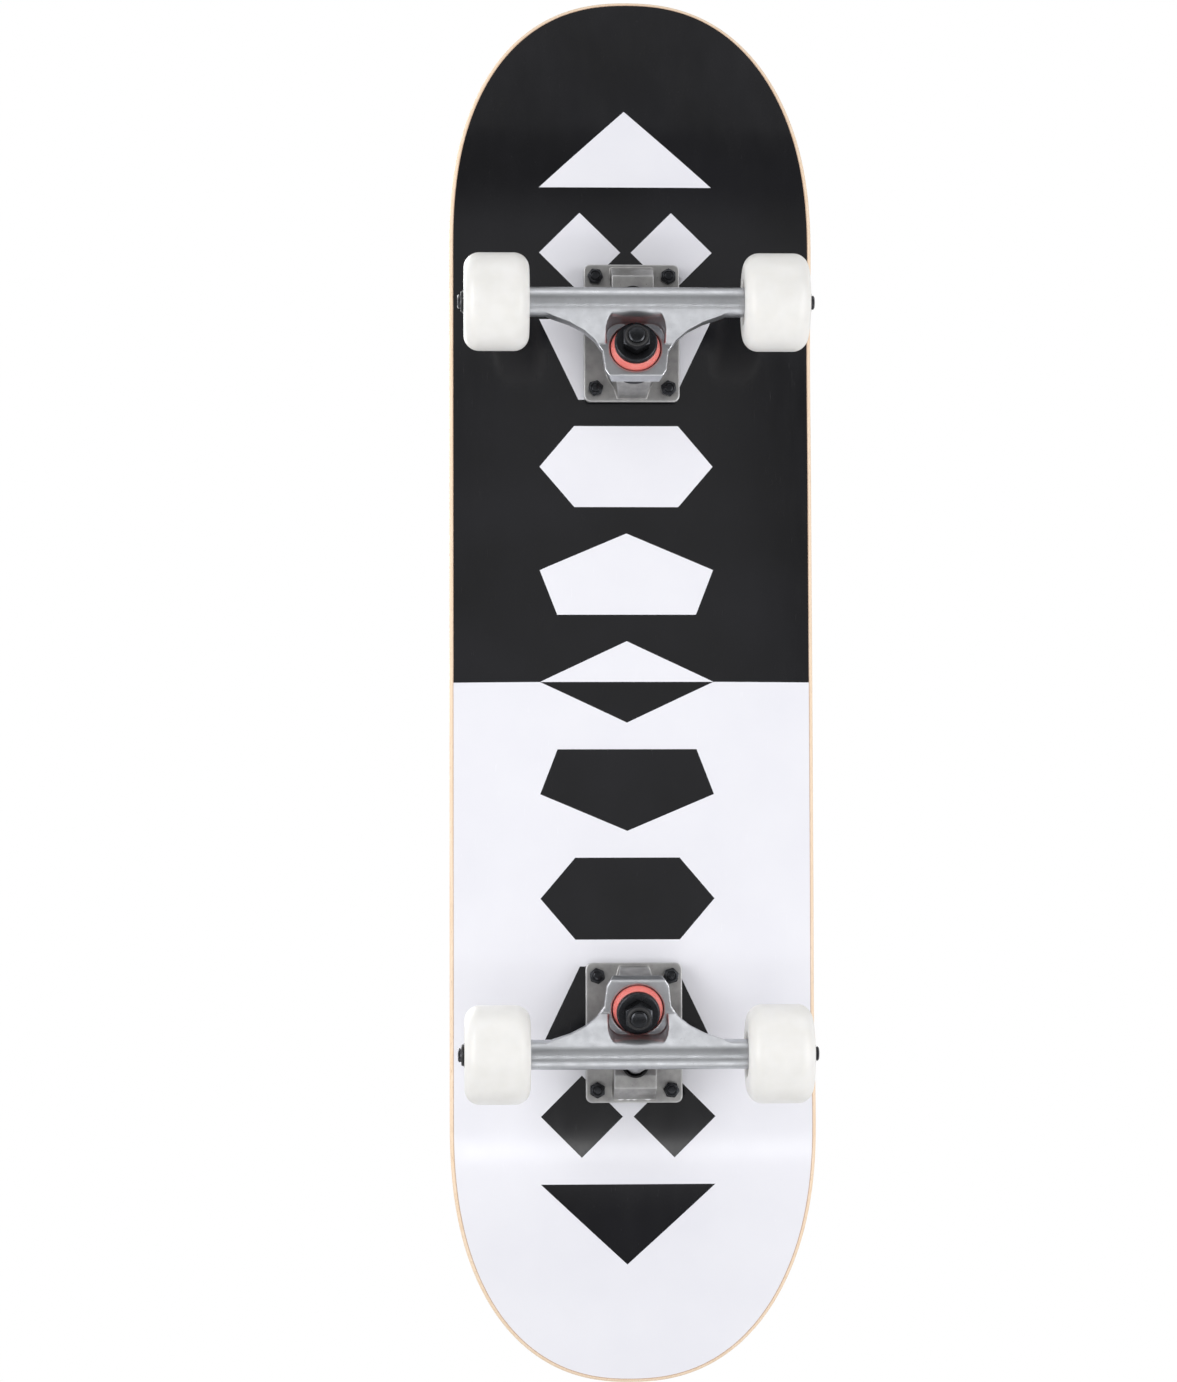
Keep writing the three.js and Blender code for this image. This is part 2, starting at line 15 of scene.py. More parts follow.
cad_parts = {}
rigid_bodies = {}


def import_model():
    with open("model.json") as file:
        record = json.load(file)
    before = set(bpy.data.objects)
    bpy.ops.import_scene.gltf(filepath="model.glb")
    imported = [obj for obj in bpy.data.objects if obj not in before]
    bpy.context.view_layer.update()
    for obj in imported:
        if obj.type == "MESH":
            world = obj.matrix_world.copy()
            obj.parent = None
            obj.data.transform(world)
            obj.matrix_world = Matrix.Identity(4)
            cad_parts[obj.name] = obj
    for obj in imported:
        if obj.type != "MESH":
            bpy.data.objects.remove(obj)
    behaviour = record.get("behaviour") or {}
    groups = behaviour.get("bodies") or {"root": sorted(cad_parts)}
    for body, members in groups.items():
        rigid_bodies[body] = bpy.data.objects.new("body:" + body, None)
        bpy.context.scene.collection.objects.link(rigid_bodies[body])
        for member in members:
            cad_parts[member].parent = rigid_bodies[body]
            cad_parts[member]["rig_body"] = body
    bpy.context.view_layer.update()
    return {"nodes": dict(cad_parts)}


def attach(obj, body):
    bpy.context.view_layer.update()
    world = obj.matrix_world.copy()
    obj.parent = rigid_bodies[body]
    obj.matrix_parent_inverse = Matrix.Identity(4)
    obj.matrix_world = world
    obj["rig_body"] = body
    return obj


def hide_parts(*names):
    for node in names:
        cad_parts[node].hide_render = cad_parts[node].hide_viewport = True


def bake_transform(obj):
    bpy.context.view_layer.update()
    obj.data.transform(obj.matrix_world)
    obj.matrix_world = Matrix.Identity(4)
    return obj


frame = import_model()

MM = 0.001
rad = math.radians
scene = bpy.context.scene

# ------------ driving dimensions, as in the CAD

LENGTH, WIDTH, THICKNESS = 794, 206, 10.5
TIP_LENGTH, TIP_POWER = 150, 2.3
KICK_START, KICK_RADIUS, KICK_ANGLE = 238, 270, rad(17.5)
FLAT_HALF_WIDTH, CONCAVE_POWER = 37, 1.5
CONCAVE = [(0, 8), (110, 8.4), (180, 10), (252, 2.6), (397, 2.6)]
EDGE_INSET, EDGE_DROP = 2.2, 2.8
BELLY = 84
PLIES = 7
GRIP_INSET, GRIP_LOW, GRIP_HIGH = 2.5, THICKNESS + 0.1, THICKNESS + 0.9
FILM_GRID, TOP_GRID, GRIP_GRID, HIDDEN_GRID = 7, 9, 7, 24          # spacing of points on each surface

TRUCK_OFFSET = 196.85
BOLT_X, BOLT_Y = 31.75, 20.65
AXLE_X, AXLE_Z, AXLE_RADIUS, AXLE_END = 9.6, -57, 4, 98.5
KINGPIN_X, KINGPIN_Z, KINGPIN_LEAN, KINGPIN_RADIUS = -21, -28.3, rad(17.4), 4.7
PIVOT_X, PIVOT_Z, PIVOT_BALL, NOSE_LEAN = 19.2, -15.7, 4.4, rad(17.7)
TUBE_RADIUS, TUBE_END = 8.2, 63.5
HEX_KINGPIN, HEX_AXLE_NUT, HEX_LOCK_NUT = 14.3, 13, 8              # across the flats
KINGPIN_HEAD, KINGPIN_TIP = (-21, -15.5), 39.5                     # along the kingpin
KINGPIN_NUT, KINGPIN_COLLAR = (30, 36.6), (36.3, 38)
RISER = (76, 53, 3.5, -3.3, -0.1)          # length, width, corner, bottom, top
RISER_OPENING, RISER_OPENING_X = (24, 19, 4), -25.5                # over the kingpin's head
BOLT_RADIUS, BOLT_LENGTH, BOLT_HEAD_RADIUS = 2.4, 25.4, 4.6
BOLT_HOLE, HEAD_HOLE = 2.9, 4.75           # in the plies, and in the top ply and the grip
RISER_HOLE = 2.75
NUT_SEAT = -8.0
WHEEL_RADIUS, WHEEL_HALF, WHEEL_LIP, WHEEL_CENTRE = 27, 18, 8.5, 77
SEAT_RADIUS, CORE_RADIUS, CORE_HALF = 11.05, 8.5, 5
BEARING_BORE, BEARING_RADIUS, BEARING_WIDTH = 4.12, 10.95, 7
SPEED_RINGS = {"inner": (63.6, 64.75), "outer": (89.15, 90.1)}     # along the axle, from its middle
AXLE_NUT, AXLE_COLLAR = (90.2, 95.4), (95.1, 96.7)

ENDS = {"front": 1, "rear": -1}
SIDES = {"left": 1, "right": -1}


# ------------ materials

class Look:
    """A procedural material: one Principled shader and short-hands for the nodes in front of it.

    Socket names are given as keywords, with an underscore for each space.
    """

    def __init__(self, name, slot, **sockets):
        self.slot = slot
        self.material = bpy.data.materials.new(name)
        self.material.use_nodes = True
        self.tree = self.material.node_tree
        self.shader = self.tree.nodes["Principled BSDF"]
        self.coordinates = self.tree.nodes.new("ShaderNodeTexCoord").outputs["Object"]
        for socket, value in sockets.items():
            self.shader.inputs[socket.replace("_", " ")].default_value = value

    def plug(self, socket, value):
        """Sets a socket to a number or colour, or links another node's output to it."""
        if isinstance(value, bpy.types.NodeSocket):
            self.tree.links.new(value, socket)
        else:
            socket.default_value = value

    def node(self, kind, **inputs):
        made = self.tree.nodes.new("ShaderNode" + kind)
        for name, value in inputs.items():
            self.plug(made.inputs[name.replace("_", " ")], value)
        return made

    def noise(self, size, detail=2, stretch=(1, 1, 1), roughness=0.5):
        """Noise whose features are about size millimetres across, longer by stretch."""
        scale = tuple(1 / (size * MM * s) for s in stretch)
        mapping = self.node("Mapping", Vector=self.coordinates, Scale=scale)
        made = self.node("TexNoise", Vector=mapping.outputs[0], Scale=1, Detail=detail, Roughness=roughness)
        return made.outputs["Fac"]

    def cells(self, size):
        """For grains of about size millimetres: a random colour, and the distance to the grain's middle."""
        made = self.node("TexVoronoi", Vector=self.coordinates, Scale=1 / (size * MM))
        return made.outputs["Color"], made.outputs["Distance"]

    def remap(self, value, low, high, to_low=0, to_high=1):
        made = self.node("MapRange", Value=value, From_Min=low, From_Max=high, To_Min=to_low, To_Max=to_high)
        return made.outputs[0]

    def math(self, operation, a, b):
        made = self.tree.nodes.new("ShaderNodeMath")
        made.operation = operation
        for socket, value in zip(made.inputs, (a, b)):
            self.plug(socket, value)
        return made.outputs[0]

    def mix(self, factor, a, b):
        made = self.tree.nodes.new("ShaderNodeMix")
        made.data_type = "RGBA"
        for index, value in ((0, factor), (6, a), (7, b)):      # the sockets of the colour form
            self.plug(made.inputs[index], value)
        return made.outputs[2]

    def attribute(self, name):
        made = self.tree.nodes.new("ShaderNodeAttribute")
        made.attribute_name = name
        return made.outputs["Fac"]

    def pointiness(self):
        return self.tree.nodes.new("ShaderNodeNewGeometry").outputs["Pointiness"]

    def bump(self, *layers):
        """Bump from (height, strength, depth in millimetres) layers."""
        normal = None
        for height, strength, depth in layers:
            made = self.node("Bump", Height=height, Strength=strength, Distance=depth * MM)
            if normal:
                self.tree.links.new(normal, made.inputs["Normal"])
            normal = made.outputs[0]
        self.tree.links.new(normal, self.shader.inputs["Normal"])

    def drive(self, socket, value):
        self.tree.links.new(value, self.shader.inputs[socket])


def colour(red, green, blue):
    """A linear colour from its 0-255 display values."""
    values = [c / 255 for c in (red, green, blue)]
    linear = [v / 12.92 if v <= 0.04045 else ((v + 0.055) / 1.055) ** 2.4 for v in values]
    return (*linear, 1)


def veneer(name, light, dark):
    look = Look("veneer_" + name, "maple", Coat_Weight=0.15, Coat_Roughness=0.3)
    grain = look.noise(1.1, 4, stretch=(45, 1, 1), roughness=0.6)
    figure = look.noise(14, 3, stretch=(5, 1, 1))
    pores = look.noise(0.35, 2, stretch=(14, 1, 1))
    tone = look.mix(look.remap(grain, 0.3, 0.7), light, dark)
    cloudy = look.mix(look.remap(figure, 0.35, 0.7, 0, 0.35), tone, dark)
    speck = look.mix(look.remap(pores, 0.62, 0.74, 0, 0.45), cloudy, colour(96, 52, 30))
    level = look.attribute("ply_level")
    from_middle = look.math("ABSOLUTE", look.math("SUBTRACT", level, 0.5), 0)
    glue = look.remap(from_middle, 0.43, 0.5, 0, 0.55)
    look.drive("Base Color", look.mix(glue, speck, colour(120, 62, 34)))
    look.drive("Roughness", look.remap(grain, 0.2, 0.8, 0.42, 0.62))
    look.bump((grain, 0.25, 0.12), (pores, 0.3, 0.06))
    return look


def film(name, base, patch_colour, specular):
    """Heat-transfer film under varnish, with the veneer's grain showing faintly through."""
    look = Look("film_" + name, "maple", Coat_Weight=0.25, Coat_Roughness=0.12, Specular_IOR_Level=specular)
    grain = look.noise(1.6, 4, stretch=(38, 1, 1), roughness=0.62)
    ripple = look.noise(9, 2, stretch=(5, 1, 1))
    painted_reflection_patches = look.noise(55, 3)
    scuffs = look.noise(0.7, 3, stretch=(16, 1, 1))
    # large soft patches in the patch colour: on the black film they are lighter, a painted reflection; on the
    # white film a little darker
    look.drive("Base Color", look.mix(look.remap(painted_reflection_patches, 0.3, 0.75), base, patch_colour))
    smooth = look.remap(ripple, 0.25, 0.8, 0.14, 0.24)
    worn = look.remap(scuffs, 0.66, 0.8, 0, 0.2)
    look.drive("Roughness", look.math("ADD", smooth, worn))
    look.bump((grain, 0.22, 0.05), (ripple, 0.16, 0.09))
    return look


def grip_look():
    look = Look("grip_grit", "grip", Specular_IOR_Level=0.2)
    random_colour, distance = look.cells(0.42)
    fine, fine_distance = look.cells(0.24)
    wear = look.noise(38, 4)
    base = look.mix(look.remap(wear, 0.3, 0.75), colour(27, 27, 31), colour(37, 37, 42))
    sparkle = look.remap(random_colour, 0.72, 0.95, 0, 0.6)
    grit = look.mix(look.remap(fine, 0.35, 0.8, 0, 0.5), base, colour(15, 15, 16))
    look.drive("Base Color", look.mix(sparkle, grit, colour(78, 78, 82)))
    look.drive("Roughness", look.remap(fine, 0.3, 0.8, 0.95, 0.6))
    look.bump((distance, 0.9, 0.25), (fine_distance, 0.8, 0.12))
    return look


def cast_look(name, slot, base, dark, roughness, grain_size, pits, brushed=None):
    """Aluminium as cast: fine grain, scattered pits, bright edges that are partly polish and partly a painted
    highlight, and painted shade darkening the hollows.
    """
    look = Look(name, slot, Metallic=0.88)
    grain = look.noise(grain_size, 3, roughness=0.65)
    blotch = look.noise(6, 3)
    holes = look.noise(0.8, 2)
    pitted = look.remap(holes, 0.68, 0.76, 0, pits)
    tone = look.mix(look.remap(blotch, 0.3, 0.72), base, dark)
    spotted = look.mix(pitted, tone, colour(70, 69, 68))
    # painted highlight, partly polish: the colour turns near white where the surface bulges, at the edges
    edge = look.remap(look.pointiness(), 0.5, 0.6, 0, 0.8)
    # painted shade: the colour turns dark grey where the surface hollows inward
    painted_hollow_shade = look.remap(look.pointiness(), 0.5, 0.43, 0, 0.55)
    shaded = look.mix(painted_hollow_shade, spotted, colour(74, 73, 74))
    look.drive("Base Color", look.mix(edge, shaded, colour(236, 237, 240)))
    look.drive("Roughness", look.remap(blotch, 0.25, 0.75, roughness - 0.06, roughness + 0.08))
    layers = [(grain, 0.35, 0.1), (holes, 0.3, 0.16)]
    if brushed:
        layers.append((look.noise(0.35, 3, stretch=brushed), 0.3, 0.06))
    look.bump(*layers)
    return look


def metal_look(name, slot, base, dark, roughness, metallic=1.0):
    look = Look(name, slot, Metallic=metallic)
    mottle = look.noise(2.2, 3)
    fine = look.noise(0.28, 2)
    look.drive("Base Color", look.mix(look.remap(mottle, 0.3, 0.7), base, dark))
    look.drive("Roughness", look.remap(mottle, 0.25, 0.75, roughness - 0.08, roughness + 0.1))
    look.bump((fine, 0.18, 0.05))
    return look


def rubber_look(name, slot, base, dark, roughness):
    look = Look(name, slot)
    mottle = look.noise(5, 3)
    fine = look.noise(0.4, 3)
    look.drive("Base Color", look.mix(look.remap(mottle, 0.3, 0.7), base, dark))
    look.drive("Roughness", look.remap(fine, 0.3, 0.7, roughness - 0.07, roughness + 0.1))
    look.bump((fine, 0.4, 0.12))
    return look


def urethane_look(name, slot, base, cloud, roughness, subsurface, radius):
    """Cast urethane: milky below a soft gloss, with faint scuffs."""
    look = Look(name, slot, Subsurface_Weight=subsurface, Subsurface_Scale=1.0,
                Subsurface_Radius=tuple(r * MM for r in radius))
    milk = look.noise(11, 2)
    scuff = look.noise(1.1, 3)
    fine = look.noise(0.3, 2)
    look.drive("Base Color", look.mix(look.remap(milk, 0.3, 0.7), base, cloud))
    soft = look.remap(milk, 0.2, 0.8, roughness - 0.03, roughness + 0.05)
    look.drive("Roughness", look.math("ADD", soft, look.remap(scuff, 0.62, 0.78, 0, 0.14)))
    look.bump((fine, 0.12, 0.04), (milk, 0.1, 0.1))
    return look


ORANGE = colour(232, 160, 104)

VENEERS = [                       # from the underside up
    veneer("pale", colour(242, 222, 200), colour(230, 203, 172)),
    veneer("tan", colour(246, 213, 178), colour(226, 190, 152)),
    veneer("tan_dark", colour(224, 172, 128), colour(198, 146, 104)),
    veneer("pink", colour(204, 112, 82), colour(180, 86, 60)),
    veneer("red", colour(172, 38, 22), colour(140, 26, 14)),
    veneer("orange", ORANGE, colour(206, 128, 78)),
    veneer("orange_top", colour(238, 178, 122), ORANGE),
]
# the black film's second colour is its painted reflection patches
FILM_BLACK = film("black", colour(12, 12, 15), colour(21, 21, 25), 0.38)
FILM_WHITE = film("white", colour(231, 231, 237), colour(226, 226, 233), 0.45)
GRIP = grip_look()
CAST = cast_look("cast_aluminium", "cast_aluminium", colour(176, 175, 174), colour(150, 149, 149),
                 0.42, 0.45, 0.7)
HANGER = cast_look("hanger_aluminium", "hanger_aluminium", colour(192, 194, 198), colour(180, 182, 186),
                   0.33, 0.6, 0.35, brushed=(1, 22, 1))
STEEL = metal_look("axle_steel", "axle_steel", colour(104, 104, 108), colour(80, 80, 84), 0.28)
BLACK_STEEL = metal_look("black_oxide", "black_steel", colour(66, 67, 70), colour(48, 49, 52), 0.3)
RACE = metal_look("bearing_race", "bearing_shield", colour(156, 130, 90), colour(128, 102, 66), 0.34)
SHIELD = metal_look("bearing_shield", "bearing_shield", colour(132, 106, 66), colour(104, 82, 50), 0.42)
BRASS = metal_look("shield_lip", "bearing_shield", colour(214, 172, 92), colour(186, 140, 66), 0.26)
RUBBER = rubber_look("black_rubber", "black_rubber", colour(22, 22, 23), colour(31, 31, 32), 0.62)
NYLON = rubber_look("nut_nylon", "black_steel", colour(34, 34, 36), colour(26, 26, 28), 0.45)
SALMON = urethane_look("salmon_urethane", "salmon_urethane", colour(228, 130, 122), colour(220, 112, 105),
                       0.27, 0.25, (2.5, 0.9, 0.8))
WHITE = urethane_look("white_urethane", "white_urethane", colour(229, 228, 226), colour(224, 223, 220),
                      0.34, 0.3, (3.0, 2.8, 2.5))


# ------------ pieces

def shade_smooth(mesh, sharp=None):
    """Smooth shading, with the edges over the sharp angle kept crisp."""
    mesh.polygons.foreach_set("use_smooth", [True] * len(mesh.polygons))
    if sharp:
        mesh.set_sharp_from_angle(angle=rad(sharp))


def with_modifiers(shape):
    """The mesh of an object after its modifiers."""
    bpy.context.view_layer.update()
    evaluated = shape.evaluated_get(bpy.context.evaluated_depsgraph_get())
    return bpy.data.meshes.new_from_object(evaluated)


def new_object(name, data):
    made = bpy.data.objects.new(name, data)
    scene.collection.objects.link(made)
    return made


def mesh_from(name, points, faces, matrix=Matrix.Identity(4), sharp=32):
    """A closed mesh in metres with its faces turned outward; edges over the sharp angle stay crisp."""
    mesh = bpy.data.meshes.new(name)
    mesh.from_pydata([(matrix @ Vector(p)) * MM for p in points], [], faces)
    work = bmesh.new()
    work.from_mesh(mesh)
    bmesh.ops.recalc_face_normals(work, faces=work.faces)
    work.to_mesh(mesh)
    work.free()
    shade_smooth(mesh, sharp)
    return mesh


def add_piece(name, mesh, look, node, replaces=True, body=None):
    """Shows a mesh on the body of its CAD node, which it stands for unless replaces is off."""
    piece = new_object(name, mesh)
    if not mesh.materials:
        mesh.materials.append(look.material)
    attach(piece, body or frame["nodes"][node]["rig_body"])
    if replaces:
        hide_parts(node)
    return piece


def add_shape(name, shape, place, look, node, sharp=32, replaces=True, body=None):
    """Shows a (points, faces) shape, moved from its own axes by the place."""
    return add_piece(name, mesh_from(name, *shape, place, sharp), look, node, replaces, body)


def add_bushing(name, mesh, look, node):
    """A bushing, squeezed between the board and the hanger, shown in place of its CAD node with its place
    baked into the mesh.
    """
    piece = new_object(name, mesh)
    mesh.materials.append(look.material)
    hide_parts(node)
    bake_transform(piece)
    return piece


# ------------ turned and lofted shapes

def polar(angle):
    return Vector((math.cos(angle), math.sin(angle)))


def ring(radius, height, segments):
    turns = [2 * math.pi * i / segments for i in range(segments)]
    return [(radius * math.cos(a), radius * math.sin(a), height) for a in turns]


def band(low, high):
    """The four corners of each face between two closed loops of equally many items."""
    count = len(low)
    return [(low[i], high[i], high[(i + 1) % count], low[(i + 1) % count]) for i in range(count)]


def loft(rings, closed=False):
    """Faces between rings of equally many points. The ends are capped, or joined if closed."""
    count = len(rings[0])
    points = [p for one in rings for p in one]
    loops = [range(k * count, (k + 1) * count) for k in range(len(rings))]
    faces = [face for low, high in zip(loops, loops[1:]) for face in band(low, high)]
    if closed:
        faces += band(loops[-1], loops[0])
    else:
        faces += [tuple(loops[0]), tuple(loops[-1])]
    return points, faces


def rounded(profile, radius, closed, steps=3):
    """The profile with each corner replaced by a short curve, at most radius along each side."""
    soft = []
    count = len(profile)
    for i, corner in enumerate(profile):
        here = Vector(corner)
        if not closed and i in (0, count - 1):
            soft.append(tuple(here))
            continue
        back = Vector(profile[i - 1]) - here
        ahead = Vector(profile[(i + 1) % count]) - here
        start = here + back.normalized() * min(radius, back.length * 0.45)
        end = here + ahead.normalized() * min(radius, ahead.length * 0.45)
        for k in range(steps + 1):
            t = k / steps
            soft.append(tuple(start.lerp(here, t).lerp(here.lerp(end, t), t)))
    return soft


def turned(profile, radius=0.35, segments=64, steps=3):
    """A body turned about Z from (radius, height) corners. Off the axis, the profile closes on itself."""
    closed = profile[0][0] > 0
    soft = rounded(profile, radius, closed, steps)
    rings = [ring(r, z, segments) for r, z in soft if r > 0]
    return loft(rings, closed)


def hex_outline(across_flats, corner=0.5, per_side=6):
    """A hexagon with rounded corners, with points along its flats for the chamfer's curve."""
    reach = (across_flats / 2 - corner) / math.cos(rad(30))
    arc_steps = 4
    corners = []
    for side in range(6):
        middle = rad(60 * side)
        centre = polar(middle) * reach
        turns = [middle + rad(-30 + 60 * k / arc_steps) for k in range(arc_steps + 1)]
        corners.append([centre + polar(a) * corner for a in turns])
    outline = []
    for side, arc in enumerate(corners):
        following = corners[(side + 1) % 6][0]
        outline += arc
        outline += [arc[-1].lerp(following, k / per_side) for k in range(1, per_side)]
    return outline


def hexagon(across_flats, low, high, bore=0, low_chamfer=0.97, high_chamfer=0.94):
    """A nut or bolt head along Z, its corners turned down to a circle by 30 degree chamfers."""
    outline = hex_outline(across_flats)

    def circle(radius, height):
        return [(*(p.normalized() * radius), height) for p in outline]

    def crown(share, height, sign):
        face = across_flats / 2 * share
        return [(p.x, p.y, height + sign * (p.length - face) * math.tan(rad(30))) for p in outline]

    rings = [
        circle(across_flats / 2 * low_chamfer, low),
        crown(low_chamfer, low, 1),
        crown(high_chamfer, high, -1),
        circle(across_flats / 2 * high_chamfer, high),
    ]
    if not bore:
        return loft(rings)
    chamfer = 0.4
    bored = [circle(bore + chamfer, high), circle(bore, high - chamfer),
             circle(bore, low + chamfer), circle(bore + chamfer, low)]
    return loft(rings + bored, closed=True)


def joined(*shapes):
    """Several (points, faces) shapes as one."""
    points, faces = [], []
    for more_points, more_faces in shapes:
        start = len(points)
        points += more_points
        faces += [tuple(start + i for i in face) for face in more_faces]
    return points, faces


# ------------ the deck's surface

def concave_rise(x):
    distance = abs(x)
    for (x0, rise0), (x1, rise1) in zip(CONCAVE, CONCAVE[1:]):
        if distance <= x1:
            t = (distance - x0) / (x1 - x0)
            return rise0 + (rise1 - rise0) * t * t * (3 - 2 * t)
    return CONCAVE[-1][1]


def slope(x):
    along = max(0, abs(x) - KICK_START)
    return min(math.asin(min(along / KICK_RADIUS, 1)), KICK_ANGLE)


def kick_rise(x):
    along = max(0, abs(x) - KICK_START)
    straight = max(0, along - KICK_RADIUS * math.sin(KICK_ANGLE))
    return KICK_RADIUS * (1 - math.cos(slope(x))) + straight * math.tan(KICK_ANGLE)


def deck_height(x, y, level):
    """Height of the surface that lies level millimetres above the underside, through the plies."""
    out = max(0, abs(y) - FLAT_HALF_WIDTH) / (WIDTH / 2 - FLAT_HALF_WIDTH)
    underside = BELLY + kick_rise(x) + concave_rise(x) * out ** CONCAVE_POWER
    return underside + min(level, THICKNESS) / math.cos(slope(x)) + max(0, level - THICKNESS)


def deck_normal(x, y, level):
    step = 0.5
    across_x = (deck_height(x + step, y, level) - deck_height(x - step, y, level)) / (2 * step)
    across_y = (deck_height(x, y + step, level) - deck_height(x, y - step, level)) / (2 * step)
    return Vector((-across_x, -across_y, 1)).normalized()


def outline_quarter():
    """Points and outward normals of the plan, from the middle of the left rail to the nose."""
    straight_end = LENGTH / 2 - TIP_LENGTH
    straight_steps, tip_steps = 24, 44
    quarter = []
    for i in range(straight_steps):
        quarter.append((Vector((straight_end * i / straight_steps, WIDTH / 2)), Vector((0, 1))))
    for i in range(tip_steps + 1):
        angle = math.pi / 2 * (1 - i / tip_steps)
        across = max(0, math.sin(angle)) ** (2 / TIP_POWER)
        along = max(0, math.cos(angle)) ** (2 / TIP_POWER) if i else 0
        normal = Vector((along ** (TIP_POWER - 1) / TIP_LENGTH, across ** (TIP_POWER - 1) / (WIDTH / 2)))
        point = Vector((straight_end + TIP_LENGTH * along, WIDTH / 2 * across))
        quarter.append((point, normal.normalized()))
    return quarter


def outline_loop():
    quarter = outline_quarter()

    def turned_to(items, sx, sy):
        return [(Vector((p.x * sx, p.y * sy)), Vector((n.x * sx, n.y * sy))) for p, n in items]

    return (turned_to(quarter, 1, 1) + turned_to(quarter[-2::-1], 1, -1)
            + turned_to(quarter[1:], -1, -1) + turned_to(quarter[-2:0:-1], -1, 1))


OUTLINE = outline_loop()
BOLT_PLACES = [(sx * BOLT_X, sy * BOLT_Y) for sx, sy in ((1, 1), (1, -1), (-1, -1), (-1, 1))]


def hole_loop(centre, radius, steps=24):
    return [centre + polar(2 * math.pi * k / steps) * radius for k in range(steps)]


def hole_loops(radius):
    return [hole_loop(Vector((end * TRUCK_OFFSET + x, y)), radius)
            for end in ENDS.values() for x, y in BOLT_PLACES]


def inside(point, polygon):
    found = False
    for a, b in zip(polygon, polygon[1:] + polygon[:1]):
        if (a.y > point.y) != (b.y > point.y) and point.x < a.x + (point.y - a.y) * (b.x - a.x) / (b.y - a.y):
            found = not found
    return found


def constrained(loops, others, tolerance):
    """Triangles between all the points, the loops' edges kept, and the number each given point got."""
    points, edges = [], []
    for loop in loops:
        start, count = len(points), len(loop)
        edges += [(start + i, start + (i + 1) % count) for i in range(count)]
        points += loop
    vertices, _, faces, sources, _, _ = delaunay_2d_cdt(points + others, edges, [], 0, tolerance)
    return vertices, faces, {source: index for index, group in enumerate(sources) for source in group}


def divided(loop, step):
    """The loop with points added, so that none of its edges is longer than the step."""
    points = []
    for a, b in zip(loop, loop[1:] + loop[:1]):
        count = max(1, math.ceil((b - a).length / step))
        points += [a.lerp(b, k / count) for k in range(count)]
    return points


def triangulate(outline, holes, chains, spacing):
    """Flat triangles within the outline, with a grid of points and every loop and chain kept as edges."""
    border = [p * 0.985 for p in outline]           # keeps the grid off the edge
    spots = [Vector(((i + j % 2 / 2) * spacing - LENGTH / 2, j * spacing - WIDTH / 2))
             for i in range(int(LENGTH / spacing) + 1) for j in range(int(WIDTH / spacing) + 1)]
    grid = [spot for spot in spots if inside(spot, border)]
    lines = [divided(chain, spacing * 0.7) for chain in chains]     # so long edges follow the deck's curve
    vertices, faces, place = constrained([outline, *holes, *lines], grid, 1e-4)
    rim = {place[i] for i in range(len(outline))}
    reach = 12                                      # further than across any hole
    kept = []
    for face in faces:
        a, b, c = (vertices[i] for i in face)
        centre = (a + b + c) / 3
        longest = max((a - b).length, (b - c).length, (c - a).length)
        height = abs((b - a).cross(c - a)) / longest
        sliver = height < 0.005 and all(i in rim for i in face)     # outside a straight side
        in_hole = any((centre - hole[0]).length < reach and inside(centre, hole) for hole in holes)
        if not sliver and not in_hole:
            kept.append((tuple(face), centre))
    return vertices, kept, place


def edge_normals(level, inset, lean):
    """Normals round the deck's rounded edge at one level."""
    sideways = math.sqrt(max(0, 1 - lean * lean)) / EDGE_INSET
    upright = lean / EDGE_DROP
    made = []
    for p, n in OUTLINE:
        q = p - n * inset
        made.append((n.to_3d() * sideways + deck_normal(q.x, q.y, level) * upright).normalized())
    return made


def hole_walls(holes, low, high):
    """Faces and corner normals inside the holes, between the numbers of their lower and upper points."""
    faces, normals, start = [], [], 0
    for hole in holes:
        end = start + len(hole)
        centre = sum(hole, Vector((0, 0))) / len(hole)
        inward = [(centre - p).normalized().to_3d() for p in hole]
        faces += band(high[start:end], low[start:end])
        normals += [normal for corners in band(inward, inward) for normal in corners]
        start = end
    return faces, normals


